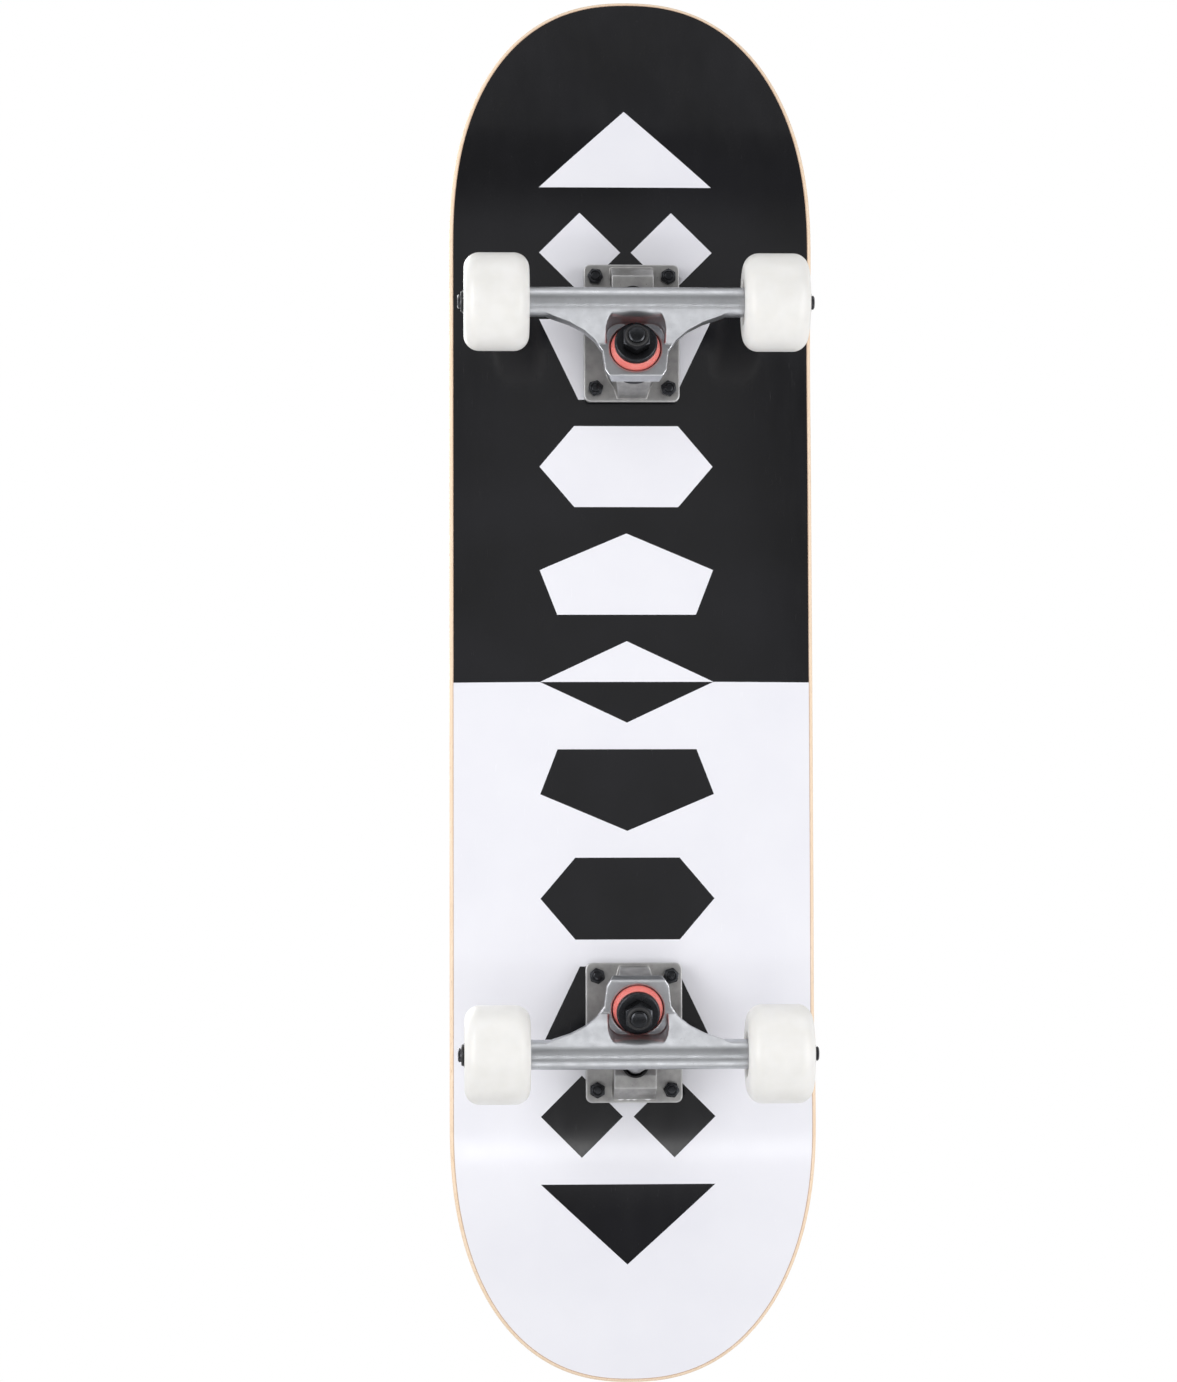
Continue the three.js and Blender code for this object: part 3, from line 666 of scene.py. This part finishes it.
def sheet_mesh(name, levels, hole_radius, spacing_low, spacing_high, chains=(), surface_index=None):
    """A closed sheet that follows the deck, with its true normals.

    levels are (level, inset, lean) from the underside up: lean is the sine of the edge's angle,
    -1 facing down and 1 facing up. surface_index gives the material of an underside triangle.
    """
    points, faces, normals, indices, heights = [], [], [], [], []
    count = len(OUTLINE)
    holes = hole_loops(hole_radius)
    hole_points = sum(len(hole) for hole in holes)
    rims, hole_rims = [], []
    for which, (level, inset, _) in (("low", levels[0]), ("high", levels[-1])):
        loop = [p - n * inset for p, n in OUTLINE]
        spacing = spacing_low if which == "low" else spacing_high
        flat, kept, place = triangulate(loop, holes, chains if which == "low" else (), spacing)
        start = len(points)
        up = 1 if which == "high" else -1
        points += [(p.x, p.y, deck_height(p.x, p.y, level)) for p in flat]
        heights += [0.0 if which == "low" else 1.0] * len(flat)
        surface = [deck_normal(p.x, p.y, level) * up for p in flat]
        for face, centre in kept:
            order = face if up > 0 else face[::-1]
            faces.append(tuple(start + i for i in order))
            normals += [surface[i] for i in order]
            indices.append(surface_index(centre) if surface_index and which == "low" else 0)
        rims.append([start + place[i] for i in range(count)])
        hole_rims.append([start + place[count + i] for i in range(hole_points)])
    loops = [rims[0]]
    for level, inset, _ in levels[1:-1]:
        flat = [p - n * inset for p, n in OUTLINE]
        loops.append(range(len(points), len(points) + count))
        points += [(q.x, q.y, deck_height(q.x, q.y, level)) for q in flat]
        heights += [(level - levels[0][0]) / (levels[-1][0] - levels[0][0])] * count
    loops.append(rims[1])
    loop_normals = [edge_normals(*level) for level in levels]
    for low, high in zip(loops, loops[1:]):
        faces += band(low, high)
        indices += [0] * count
    for low, high in zip(loop_normals, loop_normals[1:]):
        normals += [normal for corners in band(low, high) for normal in corners]
    wall_faces, wall_normals = hole_walls(holes, *hole_rims)
    faces += wall_faces
    normals += wall_normals
    indices += [0] * len(wall_faces)
    mesh = bpy.data.meshes.new(name)
    mesh.from_pydata([Vector(p) * MM for p in points], [], faces)
    shade_smooth(mesh)
    mesh.polygons.foreach_set("material_index", indices)
    ply_level = mesh.attributes.new("ply_level", "FLOAT", "POINT")
    ply_level.data.foreach_set("value", heights)
    mesh.normals_split_custom_set([tuple(n) for n in normals])
    return mesh


# ------------ the printed underside

SPLIT_X = 0                       # the film is black on the nose half and white on the tail half
BARE_BAND = 2.3                   # wood left bare inside the outline
COLUMN_Y = -3                     # middle line of the column of shapes
BLOCK_LENGTH, COLUMN_WIDTH, PAIR_GAP = 46, 98, 6
ROW_PITCH = 61

# Plain shapes in a square from -1 to 1: the first number runs to the nose, the second across.
TRIANGLE = [(-1, -1), (1, 0), (-1, 1)]
LOZENGE = [(-1, 0), (0, -1), (1, 0), (0, 1)]
TRAPEZOID = [(-1, -0.55), (1, -1), (1, 1), (-1, 0.55)]
HEXAGON = [(-1, -0.6), (0, -1), (1, -0.6), (1, 0.6), (0, 1), (-1, 0.6)]
PENTAGON = [(-1, -0.8), (0.1, -1), (1, 0), (0.1, 1), (-1, 0.8)]

# One wide shape or a pair side by side in each row, from the nose to the middle of the board.
ROWS = [(TRIANGLE,), (LOZENGE, LOZENGE), (TRAPEZOID,), (HEXAGON,), (PENTAGON,), (LOZENGE,)]


def graphic_shapes():
    """The outlines of the rows, and of the same rows turned end for end on the tail half."""
    shapes = []
    for index, kinds in enumerate(ROWS):
        cx = (len(ROWS) - 1 - index) * ROW_PITCH
        width = COLUMN_WIDTH if len(kinds) == 1 else (COLUMN_WIDTH - PAIR_GAP) / 2
        centres = [0] if len(kinds) == 1 else [-(width + PAIR_GAP) / 2, (width + PAIR_GAP) / 2]
        for end in (1, -1) if cx else (1,):
            for kind, across in zip(kinds, centres):
                shapes.append([Vector((end * (cx + u * BLOCK_LENGTH / 2), COLUMN_Y + across + v * width / 2))
                               for u, v in kind])
    return shapes


def add_deck():
    shapes = graphic_shapes()
    film_edge = [p - n * BARE_BAND for p, n in OUTLINE]
    film_side = WIDTH / 2 - BARE_BAND
    split = [Vector((SPLIT_X, -film_side)), Vector((SPLIT_X, film_side))]

    def film_index(point):
        if not inside(point, film_edge):
            return 0
        black = point.x > SPLIT_X
        for shape in shapes:
            near = abs(point.x - shape[0].x) < ROW_PITCH
            if near and inside(point, shape):
                black = not black
                break
        return 1 if black else 2

    step, edge_steps = THICKNESS / PLIES, 6
    top_arc = math.asin((EDGE_DROP - step) / EDGE_DROP)
    for ply in range(PLIES):
        low, high = ply * step, (ply + 1) * step
        levels = [low, high]
        if ply in (0, PLIES - 1):
            turns = [math.pi / 2 + (top_arc - math.pi / 2) * k / edge_steps for k in range(edge_steps + 1)]
            levels = [EDGE_DROP * (1 - math.sin(a)) for a in turns]
            if ply:
                levels = [THICKNESS - level for level in reversed(levels)]
        elif ply in (1, PLIES - 2):
            levels = [low, (low + high) / 2, high]
        placed = []
        for level in levels:
            near_face = min(level, THICKNESS - level)
            lean = max(0, EDGE_DROP - near_face) / EDGE_DROP
            inset = EDGE_INSET * (1 - math.sqrt(max(0, 1 - lean * lean)))
            placed.append((level, inset, -lean if level < THICKNESS / 2 else lean))
        outer_low, outer_high = ply == 0, ply == PLIES - 1
        hole = HEAD_HOLE if outer_high else BOLT_HOLE
        mesh = sheet_mesh(
            f"deck_ply_{ply + 1}", placed, hole,
            spacing_low=FILM_GRID if outer_low else HIDDEN_GRID,
            spacing_high=TOP_GRID if outer_high else HIDDEN_GRID,
            chains=[film_edge, split, *shapes] if outer_low else (),
            surface_index=film_index if outer_low else None)
        mesh.materials.append(VENEERS[ply].material)
        if outer_low:
            mesh.materials.append(FILM_BLACK.material)
            mesh.materials.append(FILM_WHITE.material)
        add_piece(f"deck_ply_{ply + 1}", mesh, VENEERS[ply], "deck")


def add_grip():
    rounding = 0.25
    levels = [(GRIP_LOW, GRIP_INSET, 0), (GRIP_HIGH - rounding, GRIP_INSET, 0),
              (GRIP_HIGH, GRIP_INSET + rounding, 1)]
    mesh = sheet_mesh("grip_sheet", levels, HEAD_HOLE, spacing_low=HIDDEN_GRID, spacing_high=GRIP_GRID)
    add_piece("grip_sheet", mesh, GRIP, "grip_tape")


# ------------ places on a truck

def truck_matrix(end):
    turn = Matrix.Rotation(0 if end > 0 else math.pi, 4, "Z")
    return Matrix.Translation((end * TRUCK_OFFSET, 0, BELLY)) @ turn


FLIP = Matrix.Rotation(math.pi, 4, "X")
KINGPIN = Matrix.Translation((KINGPIN_X, 0, KINGPIN_Z)) @ Matrix.Rotation(-KINGPIN_LEAN, 4, "Y") @ FLIP
NOSE = Matrix.Translation((PIVOT_X, 0, PIVOT_Z)) @ Matrix.Rotation(NOSE_LEAN, 4, "Y") @ FLIP
AXLE = Matrix.Translation((AXLE_X, 0, AXLE_Z)) @ Matrix.Rotation(-math.pi / 2, 4, "X")


# ------------ castings

def softened(name, node, fine_parts, voxel, smoothing, keep):
    """A front truck casting, remeshed from its CAD solid and finer rounds and softened like a cast edge."""
    work = bmesh.new()
    work.from_mesh(frame["nodes"][node].data)
    start = bpy.data.meshes.new(name + "_start")
    for part in fine_parts:
        work.from_mesh(part)
    work.to_mesh(start)
    work.free()
    start.materials.clear()
    shape = new_object(name + "_start", start)
    remesh = shape.modifiers.new("remesh", "REMESH")
    remesh.mode = "VOXEL"
    remesh.voxel_size = voxel * MM
    smooth = shape.modifiers.new("smooth", "SMOOTH")
    smooth.factor = 0.5
    smooth.iterations = smoothing
    decimate = shape.modifiers.new("decimate", "DECIMATE")
    decimate.ratio = keep
    mesh = with_modifiers(shape)
    bpy.data.objects.remove(shape)
    shade_smooth(mesh)
    return mesh


def hanger_mesh():
    truck = truck_matrix(1)
    tube = turned([(AXLE_RADIUS + 0.1, -TUBE_END), (TUBE_RADIUS, -TUBE_END),
                   (TUBE_RADIUS, TUBE_END), (AXLE_RADIUS + 0.1, TUBE_END)], radius=0.5, segments=96)
    nose = turned([(0, -PIVOT_BALL), (2.2, -3.8), (3.8, -2.2), (PIVOT_BALL, 0), (4.8, 5.5),
                   (7.6, 20), (8, 32), (7.4, 36), (0, 36)], radius=1.5, segments=64)
    parts = [mesh_from("tube", *tube, truck @ AXLE), mesh_from("nose", *nose, truck @ NOSE)]
    return softened("hanger", "front_hanger", parts, 0.5, 4, 0.4)


def baseplate_mesh():
    return softened("baseplate", "front_baseplate", [], 0.42, 3, 0.4)


def add_castings():
    looks = {"hanger": (hanger_mesh(), HANGER), "baseplate": (baseplate_mesh(), CAST)}
    for end_name, end in ENDS.items():
        for casting, (mesh, look) in looks.items():
            copy = mesh.copy()
            copy.transform(Matrix.Rotation(0 if end > 0 else math.pi, 4, "Z"))
            copy.materials.clear()
            name = f"{end_name}_{casting}"
            add_piece(name + "_casting", copy, look, name)


# ------------ kingpin and its stack

BORE = KINGPIN_RADIUS + 0.12

STACK = {
    "boardside_washer": (BLACK_STEEL, 0.5, [
        (BORE, 0.1), (11.7, 0.1), (12.4, 0.9), (12.4, 4.5), (11.75, 4.5), (11.75, 2.1), (BORE, 2.1)]),
    "roadside_washer": (BLACK_STEEL, 0.5, [
        (BORE, 27.9), (11.3, 27.9), (11.3, 25.9), (11.9, 25.9), (11.9, 28.9), (11.2, 29.9), (BORE, 29.9)]),
}
BUSHINGS = {
    "boardside_bushing": (2.2, 14.8, [
        (BORE, 2.2), (11.4, 2.2), (11.6, 4.6), (11.95, 8.6), (11.8, 13), (11.3, 14.8), (BORE, 14.8)]),
    "roadside_bushing": (27.8, 20.2, [
        (BORE, 20.2), (13.7, 20.2), (13.7, 22.2), (12.1, 25.5), (11.1, 26), (11.1, 27.8), (BORE, 27.8)]),
}


def add_kingpin_stack(name, end):
    place = truck_matrix(end) @ KINGPIN
    for piece, (look, radius, profile) in STACK.items():
        washer = turned(profile, radius, 72)
        add_shape(f"{name}_{piece}_turned", washer, place, look, f"{name}_{piece}", sharp=50)
    for piece, (fixed, moving, profile) in BUSHINGS.items():
        fine = turned(profile, 0.9, 72, steps=4)
        mesh = mesh_from(piece, *fine, place, sharp=60)
        subdivide_along(mesh)
        add_bushing(f"{name}_{piece}_soft", mesh, SALMON, f"{name}_{piece}")
    radius, tip, thread_start = KINGPIN_RADIUS, KINGPIN_TIP, 27
    in_head = KINGPIN_HEAD[0] + 1
    threads = thread_profile(radius, thread_start, tip - 0.8, 1.3)
    shank = turned([(0, in_head), (radius, in_head), *threads, (radius - 0.9, tip), (0, tip)], 0.12, 40, 1)
    bolt = joined(hexagon(HEX_KINGPIN, *KINGPIN_HEAD), shank)
    add_shape(f"{name}_kingpin_bolt", bolt, place, BLACK_STEEL, f"{name}_kingpin")
    nut = hexagon(HEX_KINGPIN, *KINGPIN_NUT, bore=BORE)
    add_shape(f"{name}_kingpin_nut_hex", nut, place, BLACK_STEEL, f"{name}_kingpin_nut")
    low, high = KINGPIN_COLLAR
    collar = turned([(BORE, low), (6.6, low), (6.6, high - 0.8), (6.1, high), (BORE, high)], 0.3, 56)
    add_shape(f"{name}_kingpin_nut_collar", collar, place, NYLON, f"{name}_kingpin_nut", replaces=False)


def subdivide_along(mesh):
    """Adds a cut to every face of a bushing's mesh."""
    work = bmesh.new()
    work.from_mesh(mesh)
    bmesh.ops.subdivide_edges(work, edges=work.edges, cuts=1, use_grid_fill=True)
    work.to_mesh(mesh)
    work.free()
    shade_smooth(mesh, 60)


def thread_profile(radius, low, high, pitch):
    """Profile corners of a thread between two heights, rising from root to crest each half turn."""
    root = radius - pitch * 0.32
    profile = []
    for k in range(int((high - low) / pitch)):
        height = low + k * pitch
        profile += [(radius, height), (radius, height + pitch * 0.2), (root, height + pitch * 0.6)]
    return [*profile, (radius, high)]


# ------------ riser, cup, mounting hardware

def rounded_rectangle(length, width, corner, steps=8):
    outline = []
    for sx, sy, first in ((1, 1, 0), (-1, 1, 90), (-1, -1, 180), (1, -1, 270)):
        centre = Vector((sx * (length / 2 - corner), sy * (width / 2 - corner)))
        for k in range(steps + 1):
            a = rad(first + 90 * k / steps)
            outline.append(centre + polar(a) * corner)
    return outline


def perforated_plate(outline, holes, low, high):
    """A flat plate with upright holes through it, its outer corners broken by a small chamfer."""
    chamfer = 0.3
    flat, faces, place = constrained([outline, *holes], [], 1e-5)
    kept = []
    for face in faces:
        centre = sum((flat[i] for i in face), Vector((0, 0))) / len(face)
        if not any(inside(centre, hole) for hole in holes):
            kept.append(tuple(face))
    count = len(flat)
    shrink = 1 - chamfer / 26                       # 26 is about half the plate's width
    rim = {place[i] for i in range(len(outline))}
    spot = [p * shrink if i in rim else p for i, p in enumerate(flat)]
    vertices = [(p.x, p.y, low) for p in spot] + [(p.x, p.y, high) for p in spot]
    faces = [face[::-1] for face in kept] + [tuple(count + i for i in face) for face in kept]
    walls = [(p.x, p.y, low + chamfer) for p in outline] + [(p.x, p.y, high - chamfer) for p in outline]
    first, around = len(vertices), len(outline)
    vertices += walls
    loops = [[place[i] for i in range(around)], range(first, first + around),
             range(first + around, first + 2 * around), [count + place[i] for i in range(around)]]
    for lower, upper in zip(loops, loops[1:]):
        faces += band(lower, upper)
    start = around
    for hole in holes:
        lower = [place[start + i] for i in range(len(hole))]
        faces += band(lower, [count + i for i in lower])
        start += len(hole)
    return vertices, faces


def add_riser_and_cup(name, end):
    length, width, corner, low, high = RISER
    holes = [hole_loop(Vector(at), RISER_HOLE) for at in BOLT_PLACES]
    holes.append([p + Vector((RISER_OPENING_X, 0)) for p in rounded_rectangle(*RISER_OPENING)])
    plate = perforated_plate(rounded_rectangle(length, width, corner), holes, low, high)
    truck = truck_matrix(end)
    add_shape(f"{name}_riser_pad_moulded", plate, truck, RUBBER, f"{name}_riser_pad", sharp=28)
    seat = PIVOT_BALL + 0.3
    outside = [(0, -6.5), (6.2, -6.5), (6.2, 6.6), (7.5, 6.7), (7.5, 7.2)]
    mouth = [(6.8, 7.2), (5.8, 5), (5.3, 2.8), (seat, 0)]       # wide enough for the nose to swing
    ball = [(seat * 0.8, -seat * 0.62), (seat * 0.4, -seat * 0.93), (0, -seat)]
    cup = turned(outside + mouth + ball, 0.3, 56)
    add_shape(f"{name}_pivot_cup_moulded", cup, truck @ NOSE, RUBBER, f"{name}_pivot_cup")


def bolt_mesh():
    """A flat-head bolt along Z with a tapered cross recess; its face is at height 0."""
    shank = thread_profile(BOLT_RADIUS, 3.2, BOLT_LENGTH - 0.4, 0.9)
    down = [(r, -z) for r, z in reversed(shank)]
    body = turned([(0, -BOLT_LENGTH), (BOLT_RADIUS - 0.5, -BOLT_LENGTH), *down, (BOLT_HEAD_RADIUS, -0.5),
                   (BOLT_HEAD_RADIUS - 0.15, 0), (0, 0)], 0.08, 48, 1)
    blank = new_object("bolt_blank", mesh_from("bolt_blank", *body))
    arm, half, depth, taper = 2.5, 0.5, 1.8, 0.45
    tools = []
    for along in (0, 1):
        rings = []
        for share, height in ((taper, -depth), (1, 0.05), (1, 0.6)):
            a, b = (arm * share, half) if along else (half, arm * share)
            rings.append([(-a, -b, height), (a, -b, height), (a, b, height), (-a, b, height)])
        tools.append(loft(rings))
    for k, tool in enumerate(tools):
        cutter = new_object(f"recess_{k}", mesh_from(f"recess_{k}", *tool))
        cut = blank.modifiers.new(f"cut_{k}", "BOOLEAN")
        cut.operation = "DIFFERENCE"
        cut.object = cutter
        cut.solver = "EXACT"
    mesh = with_modifiers(blank)
    for obj in [o for o in scene.objects if o.name.startswith(("bolt_blank", "recess_"))]:
        bpy.data.objects.remove(obj)
    mesh.materials.clear()
    shade_smooth(mesh, 30)
    return mesh


def add_mounting_hardware(name, end, bolt):
    truck = truck_matrix(end)
    for i, (x, y) in enumerate(BOLT_PLACES):
        here = truck @ Matrix.Translation((x, y, GRIP_HIGH)) @ Matrix.Rotation(rad(17 + 31 * i), 4, "Z")
        mesh = bolt.copy()
        mesh.transform(Matrix.Translation(here.translation * MM) @ here.to_3x3().to_4x4())
        add_piece(f"{name}_bolt_{i + 1}_fine", mesh, BLACK_STEEL, f"{name}_bolt_{i + 1}")
        seat = truck @ Matrix.Translation((x, y, NUT_SEAT)) @ FLIP @ Matrix.Rotation(rad(23 * i), 4, "Z")
        hex_part = hexagon(HEX_LOCK_NUT, 0.05, 4.2, bore=2.5)
        collar = turned([(2.5, 3.9), (3.6, 3.9), (3.6, 5.2), (3.0, 6), (2.5, 6)], 0.35, 40)
        nut = joined(hex_part, collar)
        add_shape(f"{name}_lock_nut_{i + 1}_hex", nut, seat, BLACK_STEEL, f"{name}_lock_nut_{i + 1}")


# ------------ axle, wheels and bearings

def add_axle(name, end):
    threads = thread_profile(AXLE_RADIUS, 88, AXLE_END - 0.7, 1.06)
    upper = [*threads, (AXLE_RADIUS - 0.9, AXLE_END), (0, AXLE_END)]
    lower = [(r, -z) for r, z in reversed(upper)]
    rod = turned(lower + upper, 0.1, 48, 1)
    add_shape(f"{name}_axle_rod", rod, truck_matrix(end) @ AXLE, STEEL, f"{name}_axle")


def wheel_profile():
    lip_steps, face = 12, WHEEL_HALF
    half = [(CORE_RADIUS, CORE_HALF), (SEAT_RADIUS, CORE_HALF), (SEAT_RADIUS, 12.2), (11.3, 13),
            (12.5, face - 0.35), (13, face - 0.05), (16.5, face)]
    for k in range(lip_steps + 1):
        a = math.pi / 2 * (1 - k / lip_steps)
        half.append((WHEEL_RADIUS - WHEEL_LIP * (1 - math.cos(a)), face - WHEEL_LIP * (1 - math.sin(a))))
    return half + [(r, -y) for r, y in reversed(half)]


def bearing_parts(outward):
    """Outer race, inner race, shield and its lip; the profiles are for the side that faces outward."""
    half = BEARING_WIDTH / 2
    race = [(9.35, -half), (BEARING_RADIUS, -half), (BEARING_RADIUS, half), (9.35, half), (9.1, half - 0.5)]
    race += [(8.9, 0), (9.1, 0.5 - half)]
    hub = [(BEARING_BORE, -half), (6.05, -half), (6.35, 0.4 - half), (6.35, half - 0.4), (6.05, half),
           (BEARING_BORE, half)]
    cover = [(6.5, half - 0.75), (9.0, half - 0.75), (9.05, half - 0.3), (8.4, half - 0.38),
             (6.6, half - 0.5)]
    lip = [(8.45, half - 0.42), (8.95, half - 0.42), (8.95, half - 0.14), (8.45, half - 0.14)]
    rear = [(6.5, 0.75 - half), (9.0, 0.75 - half), (9.0, 0.4 - half), (6.6, 0.4 - half)]
    sign = 1 if outward > 0 else -1
    return {part: [(r, z * sign) for r, z in profile] for part, profile in
            (("outer_race", race), ("inner_race", hub), ("shield", cover), ("shield_lip", lip),
             ("back_shield", rear))}


BEARING_LOOKS = {"outer_race": RACE, "inner_race": BLACK_STEEL, "shield": SHIELD, "shield_lip": BRASS,
                 "back_shield": SHIELD}


def add_wheel_set(end_name, end, side_name, side):
    name = f"{end_name}_{side_name}"
    hub = Matrix.Translation((end * (TRUCK_OFFSET + AXLE_X), 0, BELLY + AXLE_Z))
    hub = hub @ Matrix.Rotation(-side * math.pi / 2, 4, "X")        # local Z points away from the board

    def at(distance):
        return hub @ Matrix.Translation((0, 0, distance))

    tyre = turned(wheel_profile(), 0.6, 128)
    add_shape(f"{name}_wheel_urethane", tyre, at(WHEEL_CENTRE), WHITE, f"{name}_wheel", sharp=40)
    reach = CORE_HALF + BEARING_WIDTH / 2 + 0.1
    for which, sign in (("inner", -1), ("outer", 1)):
        node = f"{name}_{which}_bearing"
        for part, profile in bearing_parts(sign).items():
            body = f"{end_name}_hanger_set" if part == "inner_race" else None
            add_shape(f"{node}_{part}", turned(profile, 0.2, 72), at(WHEEL_CENTRE + sign * reach),
                      BEARING_LOOKS[part], node, replaces=part == "outer_race", body=body)
    half = CORE_HALF - 0.1
    spacer = turned([(BEARING_BORE, -half), (5.8, -half), (5.8, half), (BEARING_BORE, half)], 0.3, 48)
    add_shape(f"{name}_spacer_tube", spacer, at(WHEEL_CENTRE), STEEL, f"{name}_bearing_spacer")
    for which, (low, high) in SPEED_RINGS.items():
        washer = turned([(4.15, low), (5.9, low), (5.9, high), (4.15, high)], 0.2, 48)
        add_shape(f"{name}_{which}_speed_ring", washer, hub, STEEL, f"{end_name}_axle", replaces=False)
    bore = AXLE_RADIUS + 0.1
    nut = hexagon(HEX_AXLE_NUT, *AXLE_NUT, bore=bore)
    add_shape(f"{name}_axle_nut_hex", nut, hub, BLACK_STEEL, f"{name}_axle_nut")
    low, high = AXLE_COLLAR
    collar = turned([(bore, low), (5.9, low), (5.9, high - 0.7), (5.4, high), (bore, high)], 0.3, 48)
    add_shape(f"{name}_axle_nut_collar", collar, hub, NYLON, f"{name}_axle_nut", replaces=False)


# ------------ floor, light and camera

def add_floor():
    """A pale floor that is there from above and open from below, so the underside can be looked at."""
    size = 4.0
    mesh = bpy.data.meshes.new("floor")
    corners = [(-size, -size, 0), (size, -size, 0), (size, size, 0), (-size, size, 0)]
    mesh.from_pydata(corners, [], [(0, 1, 2, 3)])
    floor = new_object("floor", mesh)
    look = Look("floor_paint", None, Roughness=0.9, Specular_IOR_Level=0.1)
    tree = look.tree
    look.drive("Base Color", look.mix(look.noise(400, 2), (0.86, 0.86, 0.86, 1), (0.88, 0.88, 0.88, 1)))
    distance = look.node("VectorMath", Vector=look.coordinates)
    distance.operation = "LENGTH"
    fade = look.remap(distance.outputs["Value"], 0.9, 3.2)
    geometry = tree.nodes.new("ShaderNodeNewGeometry")
    open_share = look.math("MAXIMUM", fade, geometry.outputs["Backfacing"])
    clear = tree.nodes.new("ShaderNodeBsdfTransparent")
    blend = tree.nodes.new("ShaderNodeMixShader")
    tree.links.new(open_share, blend.inputs[0])
    tree.links.new(look.shader.outputs[0], blend.inputs[1])
    tree.links.new(clear.outputs[0], blend.inputs[2])
    tree.links.new(blend.outputs[0], tree.nodes["Material Output"].inputs["Surface"])
    mesh.materials.append(look.material)
    floor.visible_shadow = False
    floor.visible_glossy = False
    floor.visible_diffuse = False
    floor.visible_transmission = False


def add_light(name, place, aim, size, power):
    data = bpy.data.lights.new(name, "AREA")
    data.shape = "RECTANGLE"
    data.size, data.size_y = size
    data.energy = power
    light = new_object(name, data)
    light.location = place
    direction = Vector(aim) - Vector(place)
    light.rotation_euler = direction.to_track_quat("-Z", "Y").to_euler()


def add_world():
    """A white tent, white to the camera and brightest for lighting just below the horizon."""
    world = bpy.data.worlds.new("studio")
    world.use_nodes = True
    new, link = world.node_tree.nodes.new, world.node_tree.links.new
    parts = new("ShaderNodeSeparateXYZ")
    link(new("ShaderNodeTexCoord").outputs["Generated"], parts.inputs[0])
    height = new("ShaderNodeMapRange")
    height.inputs["From Min"].default_value = -1
    link(parts.outputs["Z"], height.inputs[0])
    ramp = new("ShaderNodeValToRGB")
    link(height.outputs[0], ramp.inputs[0])
    # (0 straight down to 1 straight up, brightness): dim where the kicked ends would mirror it
    stops = [(0.0, 0.5), (0.03, 0.45), (0.07, 0.2), (0.15, 0.2), (0.24, 1.0), (0.42, 1.0), (0.56, 0.62),
             (1.0, 0.62)]
    while len(ramp.color_ramp.elements) < len(stops):
        ramp.color_ramp.elements.new(0.5)
    for element, (position, level) in zip(ramp.color_ramp.elements, stops):
        element.position = position
        element.color = (level, level, level, 1)
    strength = new("ShaderNodeMath")
    strength.operation = "MAXIMUM"
    link(new("ShaderNodeLightPath").outputs["Is Camera Ray"], strength.inputs[0])
    link(ramp.outputs[0], strength.inputs[1])
    background = world.node_tree.nodes["Background"]
    background.inputs["Color"].default_value = (1, 1, 1, 1)
    link(strength.outputs[0], background.inputs["Strength"])
    scene.world = world


def add_lights():
    """Each light: its place and what it is aimed at in metres, its two sides in metres and its watts."""
    add_light("below_right", (0.2, -1.3, -0.9), (0, 0, 0.08), (1.6, 0.7), 15.5)
    add_light("below_left", (-0.1, 1.3, -0.9), (0, 0, 0.08), (1.6, 0.7), 13.2)
    add_light("below_nose", (1.9, 0, -0.3), (0.1, 0, 0.08), (1.4, 0.5), 2.2)
    add_light("below_tail", (-1.9, 0, -0.3), (-0.1, 0, 0.08), (1.4, 0.5), 2.2)
    add_light("below_strip", (-0.62, 0, -1.25), (0, 0, 0.03), (1.6, 0.12), 2.2)
    add_light("above_key", (0.6, -0.9, 1.5), (0, 0, 0.05), (1.2, 1.2), 14)


def add_camera():
    """Looks up at the underside from two metres below, with the nose at the top of the picture."""
    tilt_to_tail, tilt_to_right, roll = rad(3.0), rad(2.2), rad(0.16)
    target = Vector((-5.6, -25.0, 75)) * MM
    distance = 2.0
    away = Vector((-math.tan(tilt_to_tail), -math.tan(tilt_to_right), -1)).normalized()
    forward = -away
    up = (Vector((1, 0, 0)) - forward * forward.x).normalized()
    right = forward.cross(up)
    rolled_up = up * math.cos(roll) + right * math.sin(roll)
    rolled_right = right * math.cos(roll) - up * math.sin(roll)
    data = bpy.data.cameras.new("camera")
    data.sensor_fit = "HORIZONTAL"
    data.sensor_width = 36
    data.lens = 109
    data.clip_start = 0.05
    camera = new_object("camera", data)
    matrix = Matrix((rolled_right, rolled_up, away)).transposed().to_4x4()
    matrix.translation = target + away * distance
    camera.matrix_world = matrix
    scene.camera = camera


# ------------ assembly

add_deck()
add_grip()
add_castings()
bolt_master = bolt_mesh()
for end_name, end in ENDS.items():
    add_riser_and_cup(end_name, end)
    add_kingpin_stack(end_name, end)
    add_mounting_hardware(end_name, end, bolt_master)
    add_axle(end_name, end)
    for side_name, side in SIDES.items():
        add_wheel_set(end_name, end, side_name, side)

add_floor()
add_world()
add_lights()
add_camera()
scene.view_settings.view_transform = "Standard"
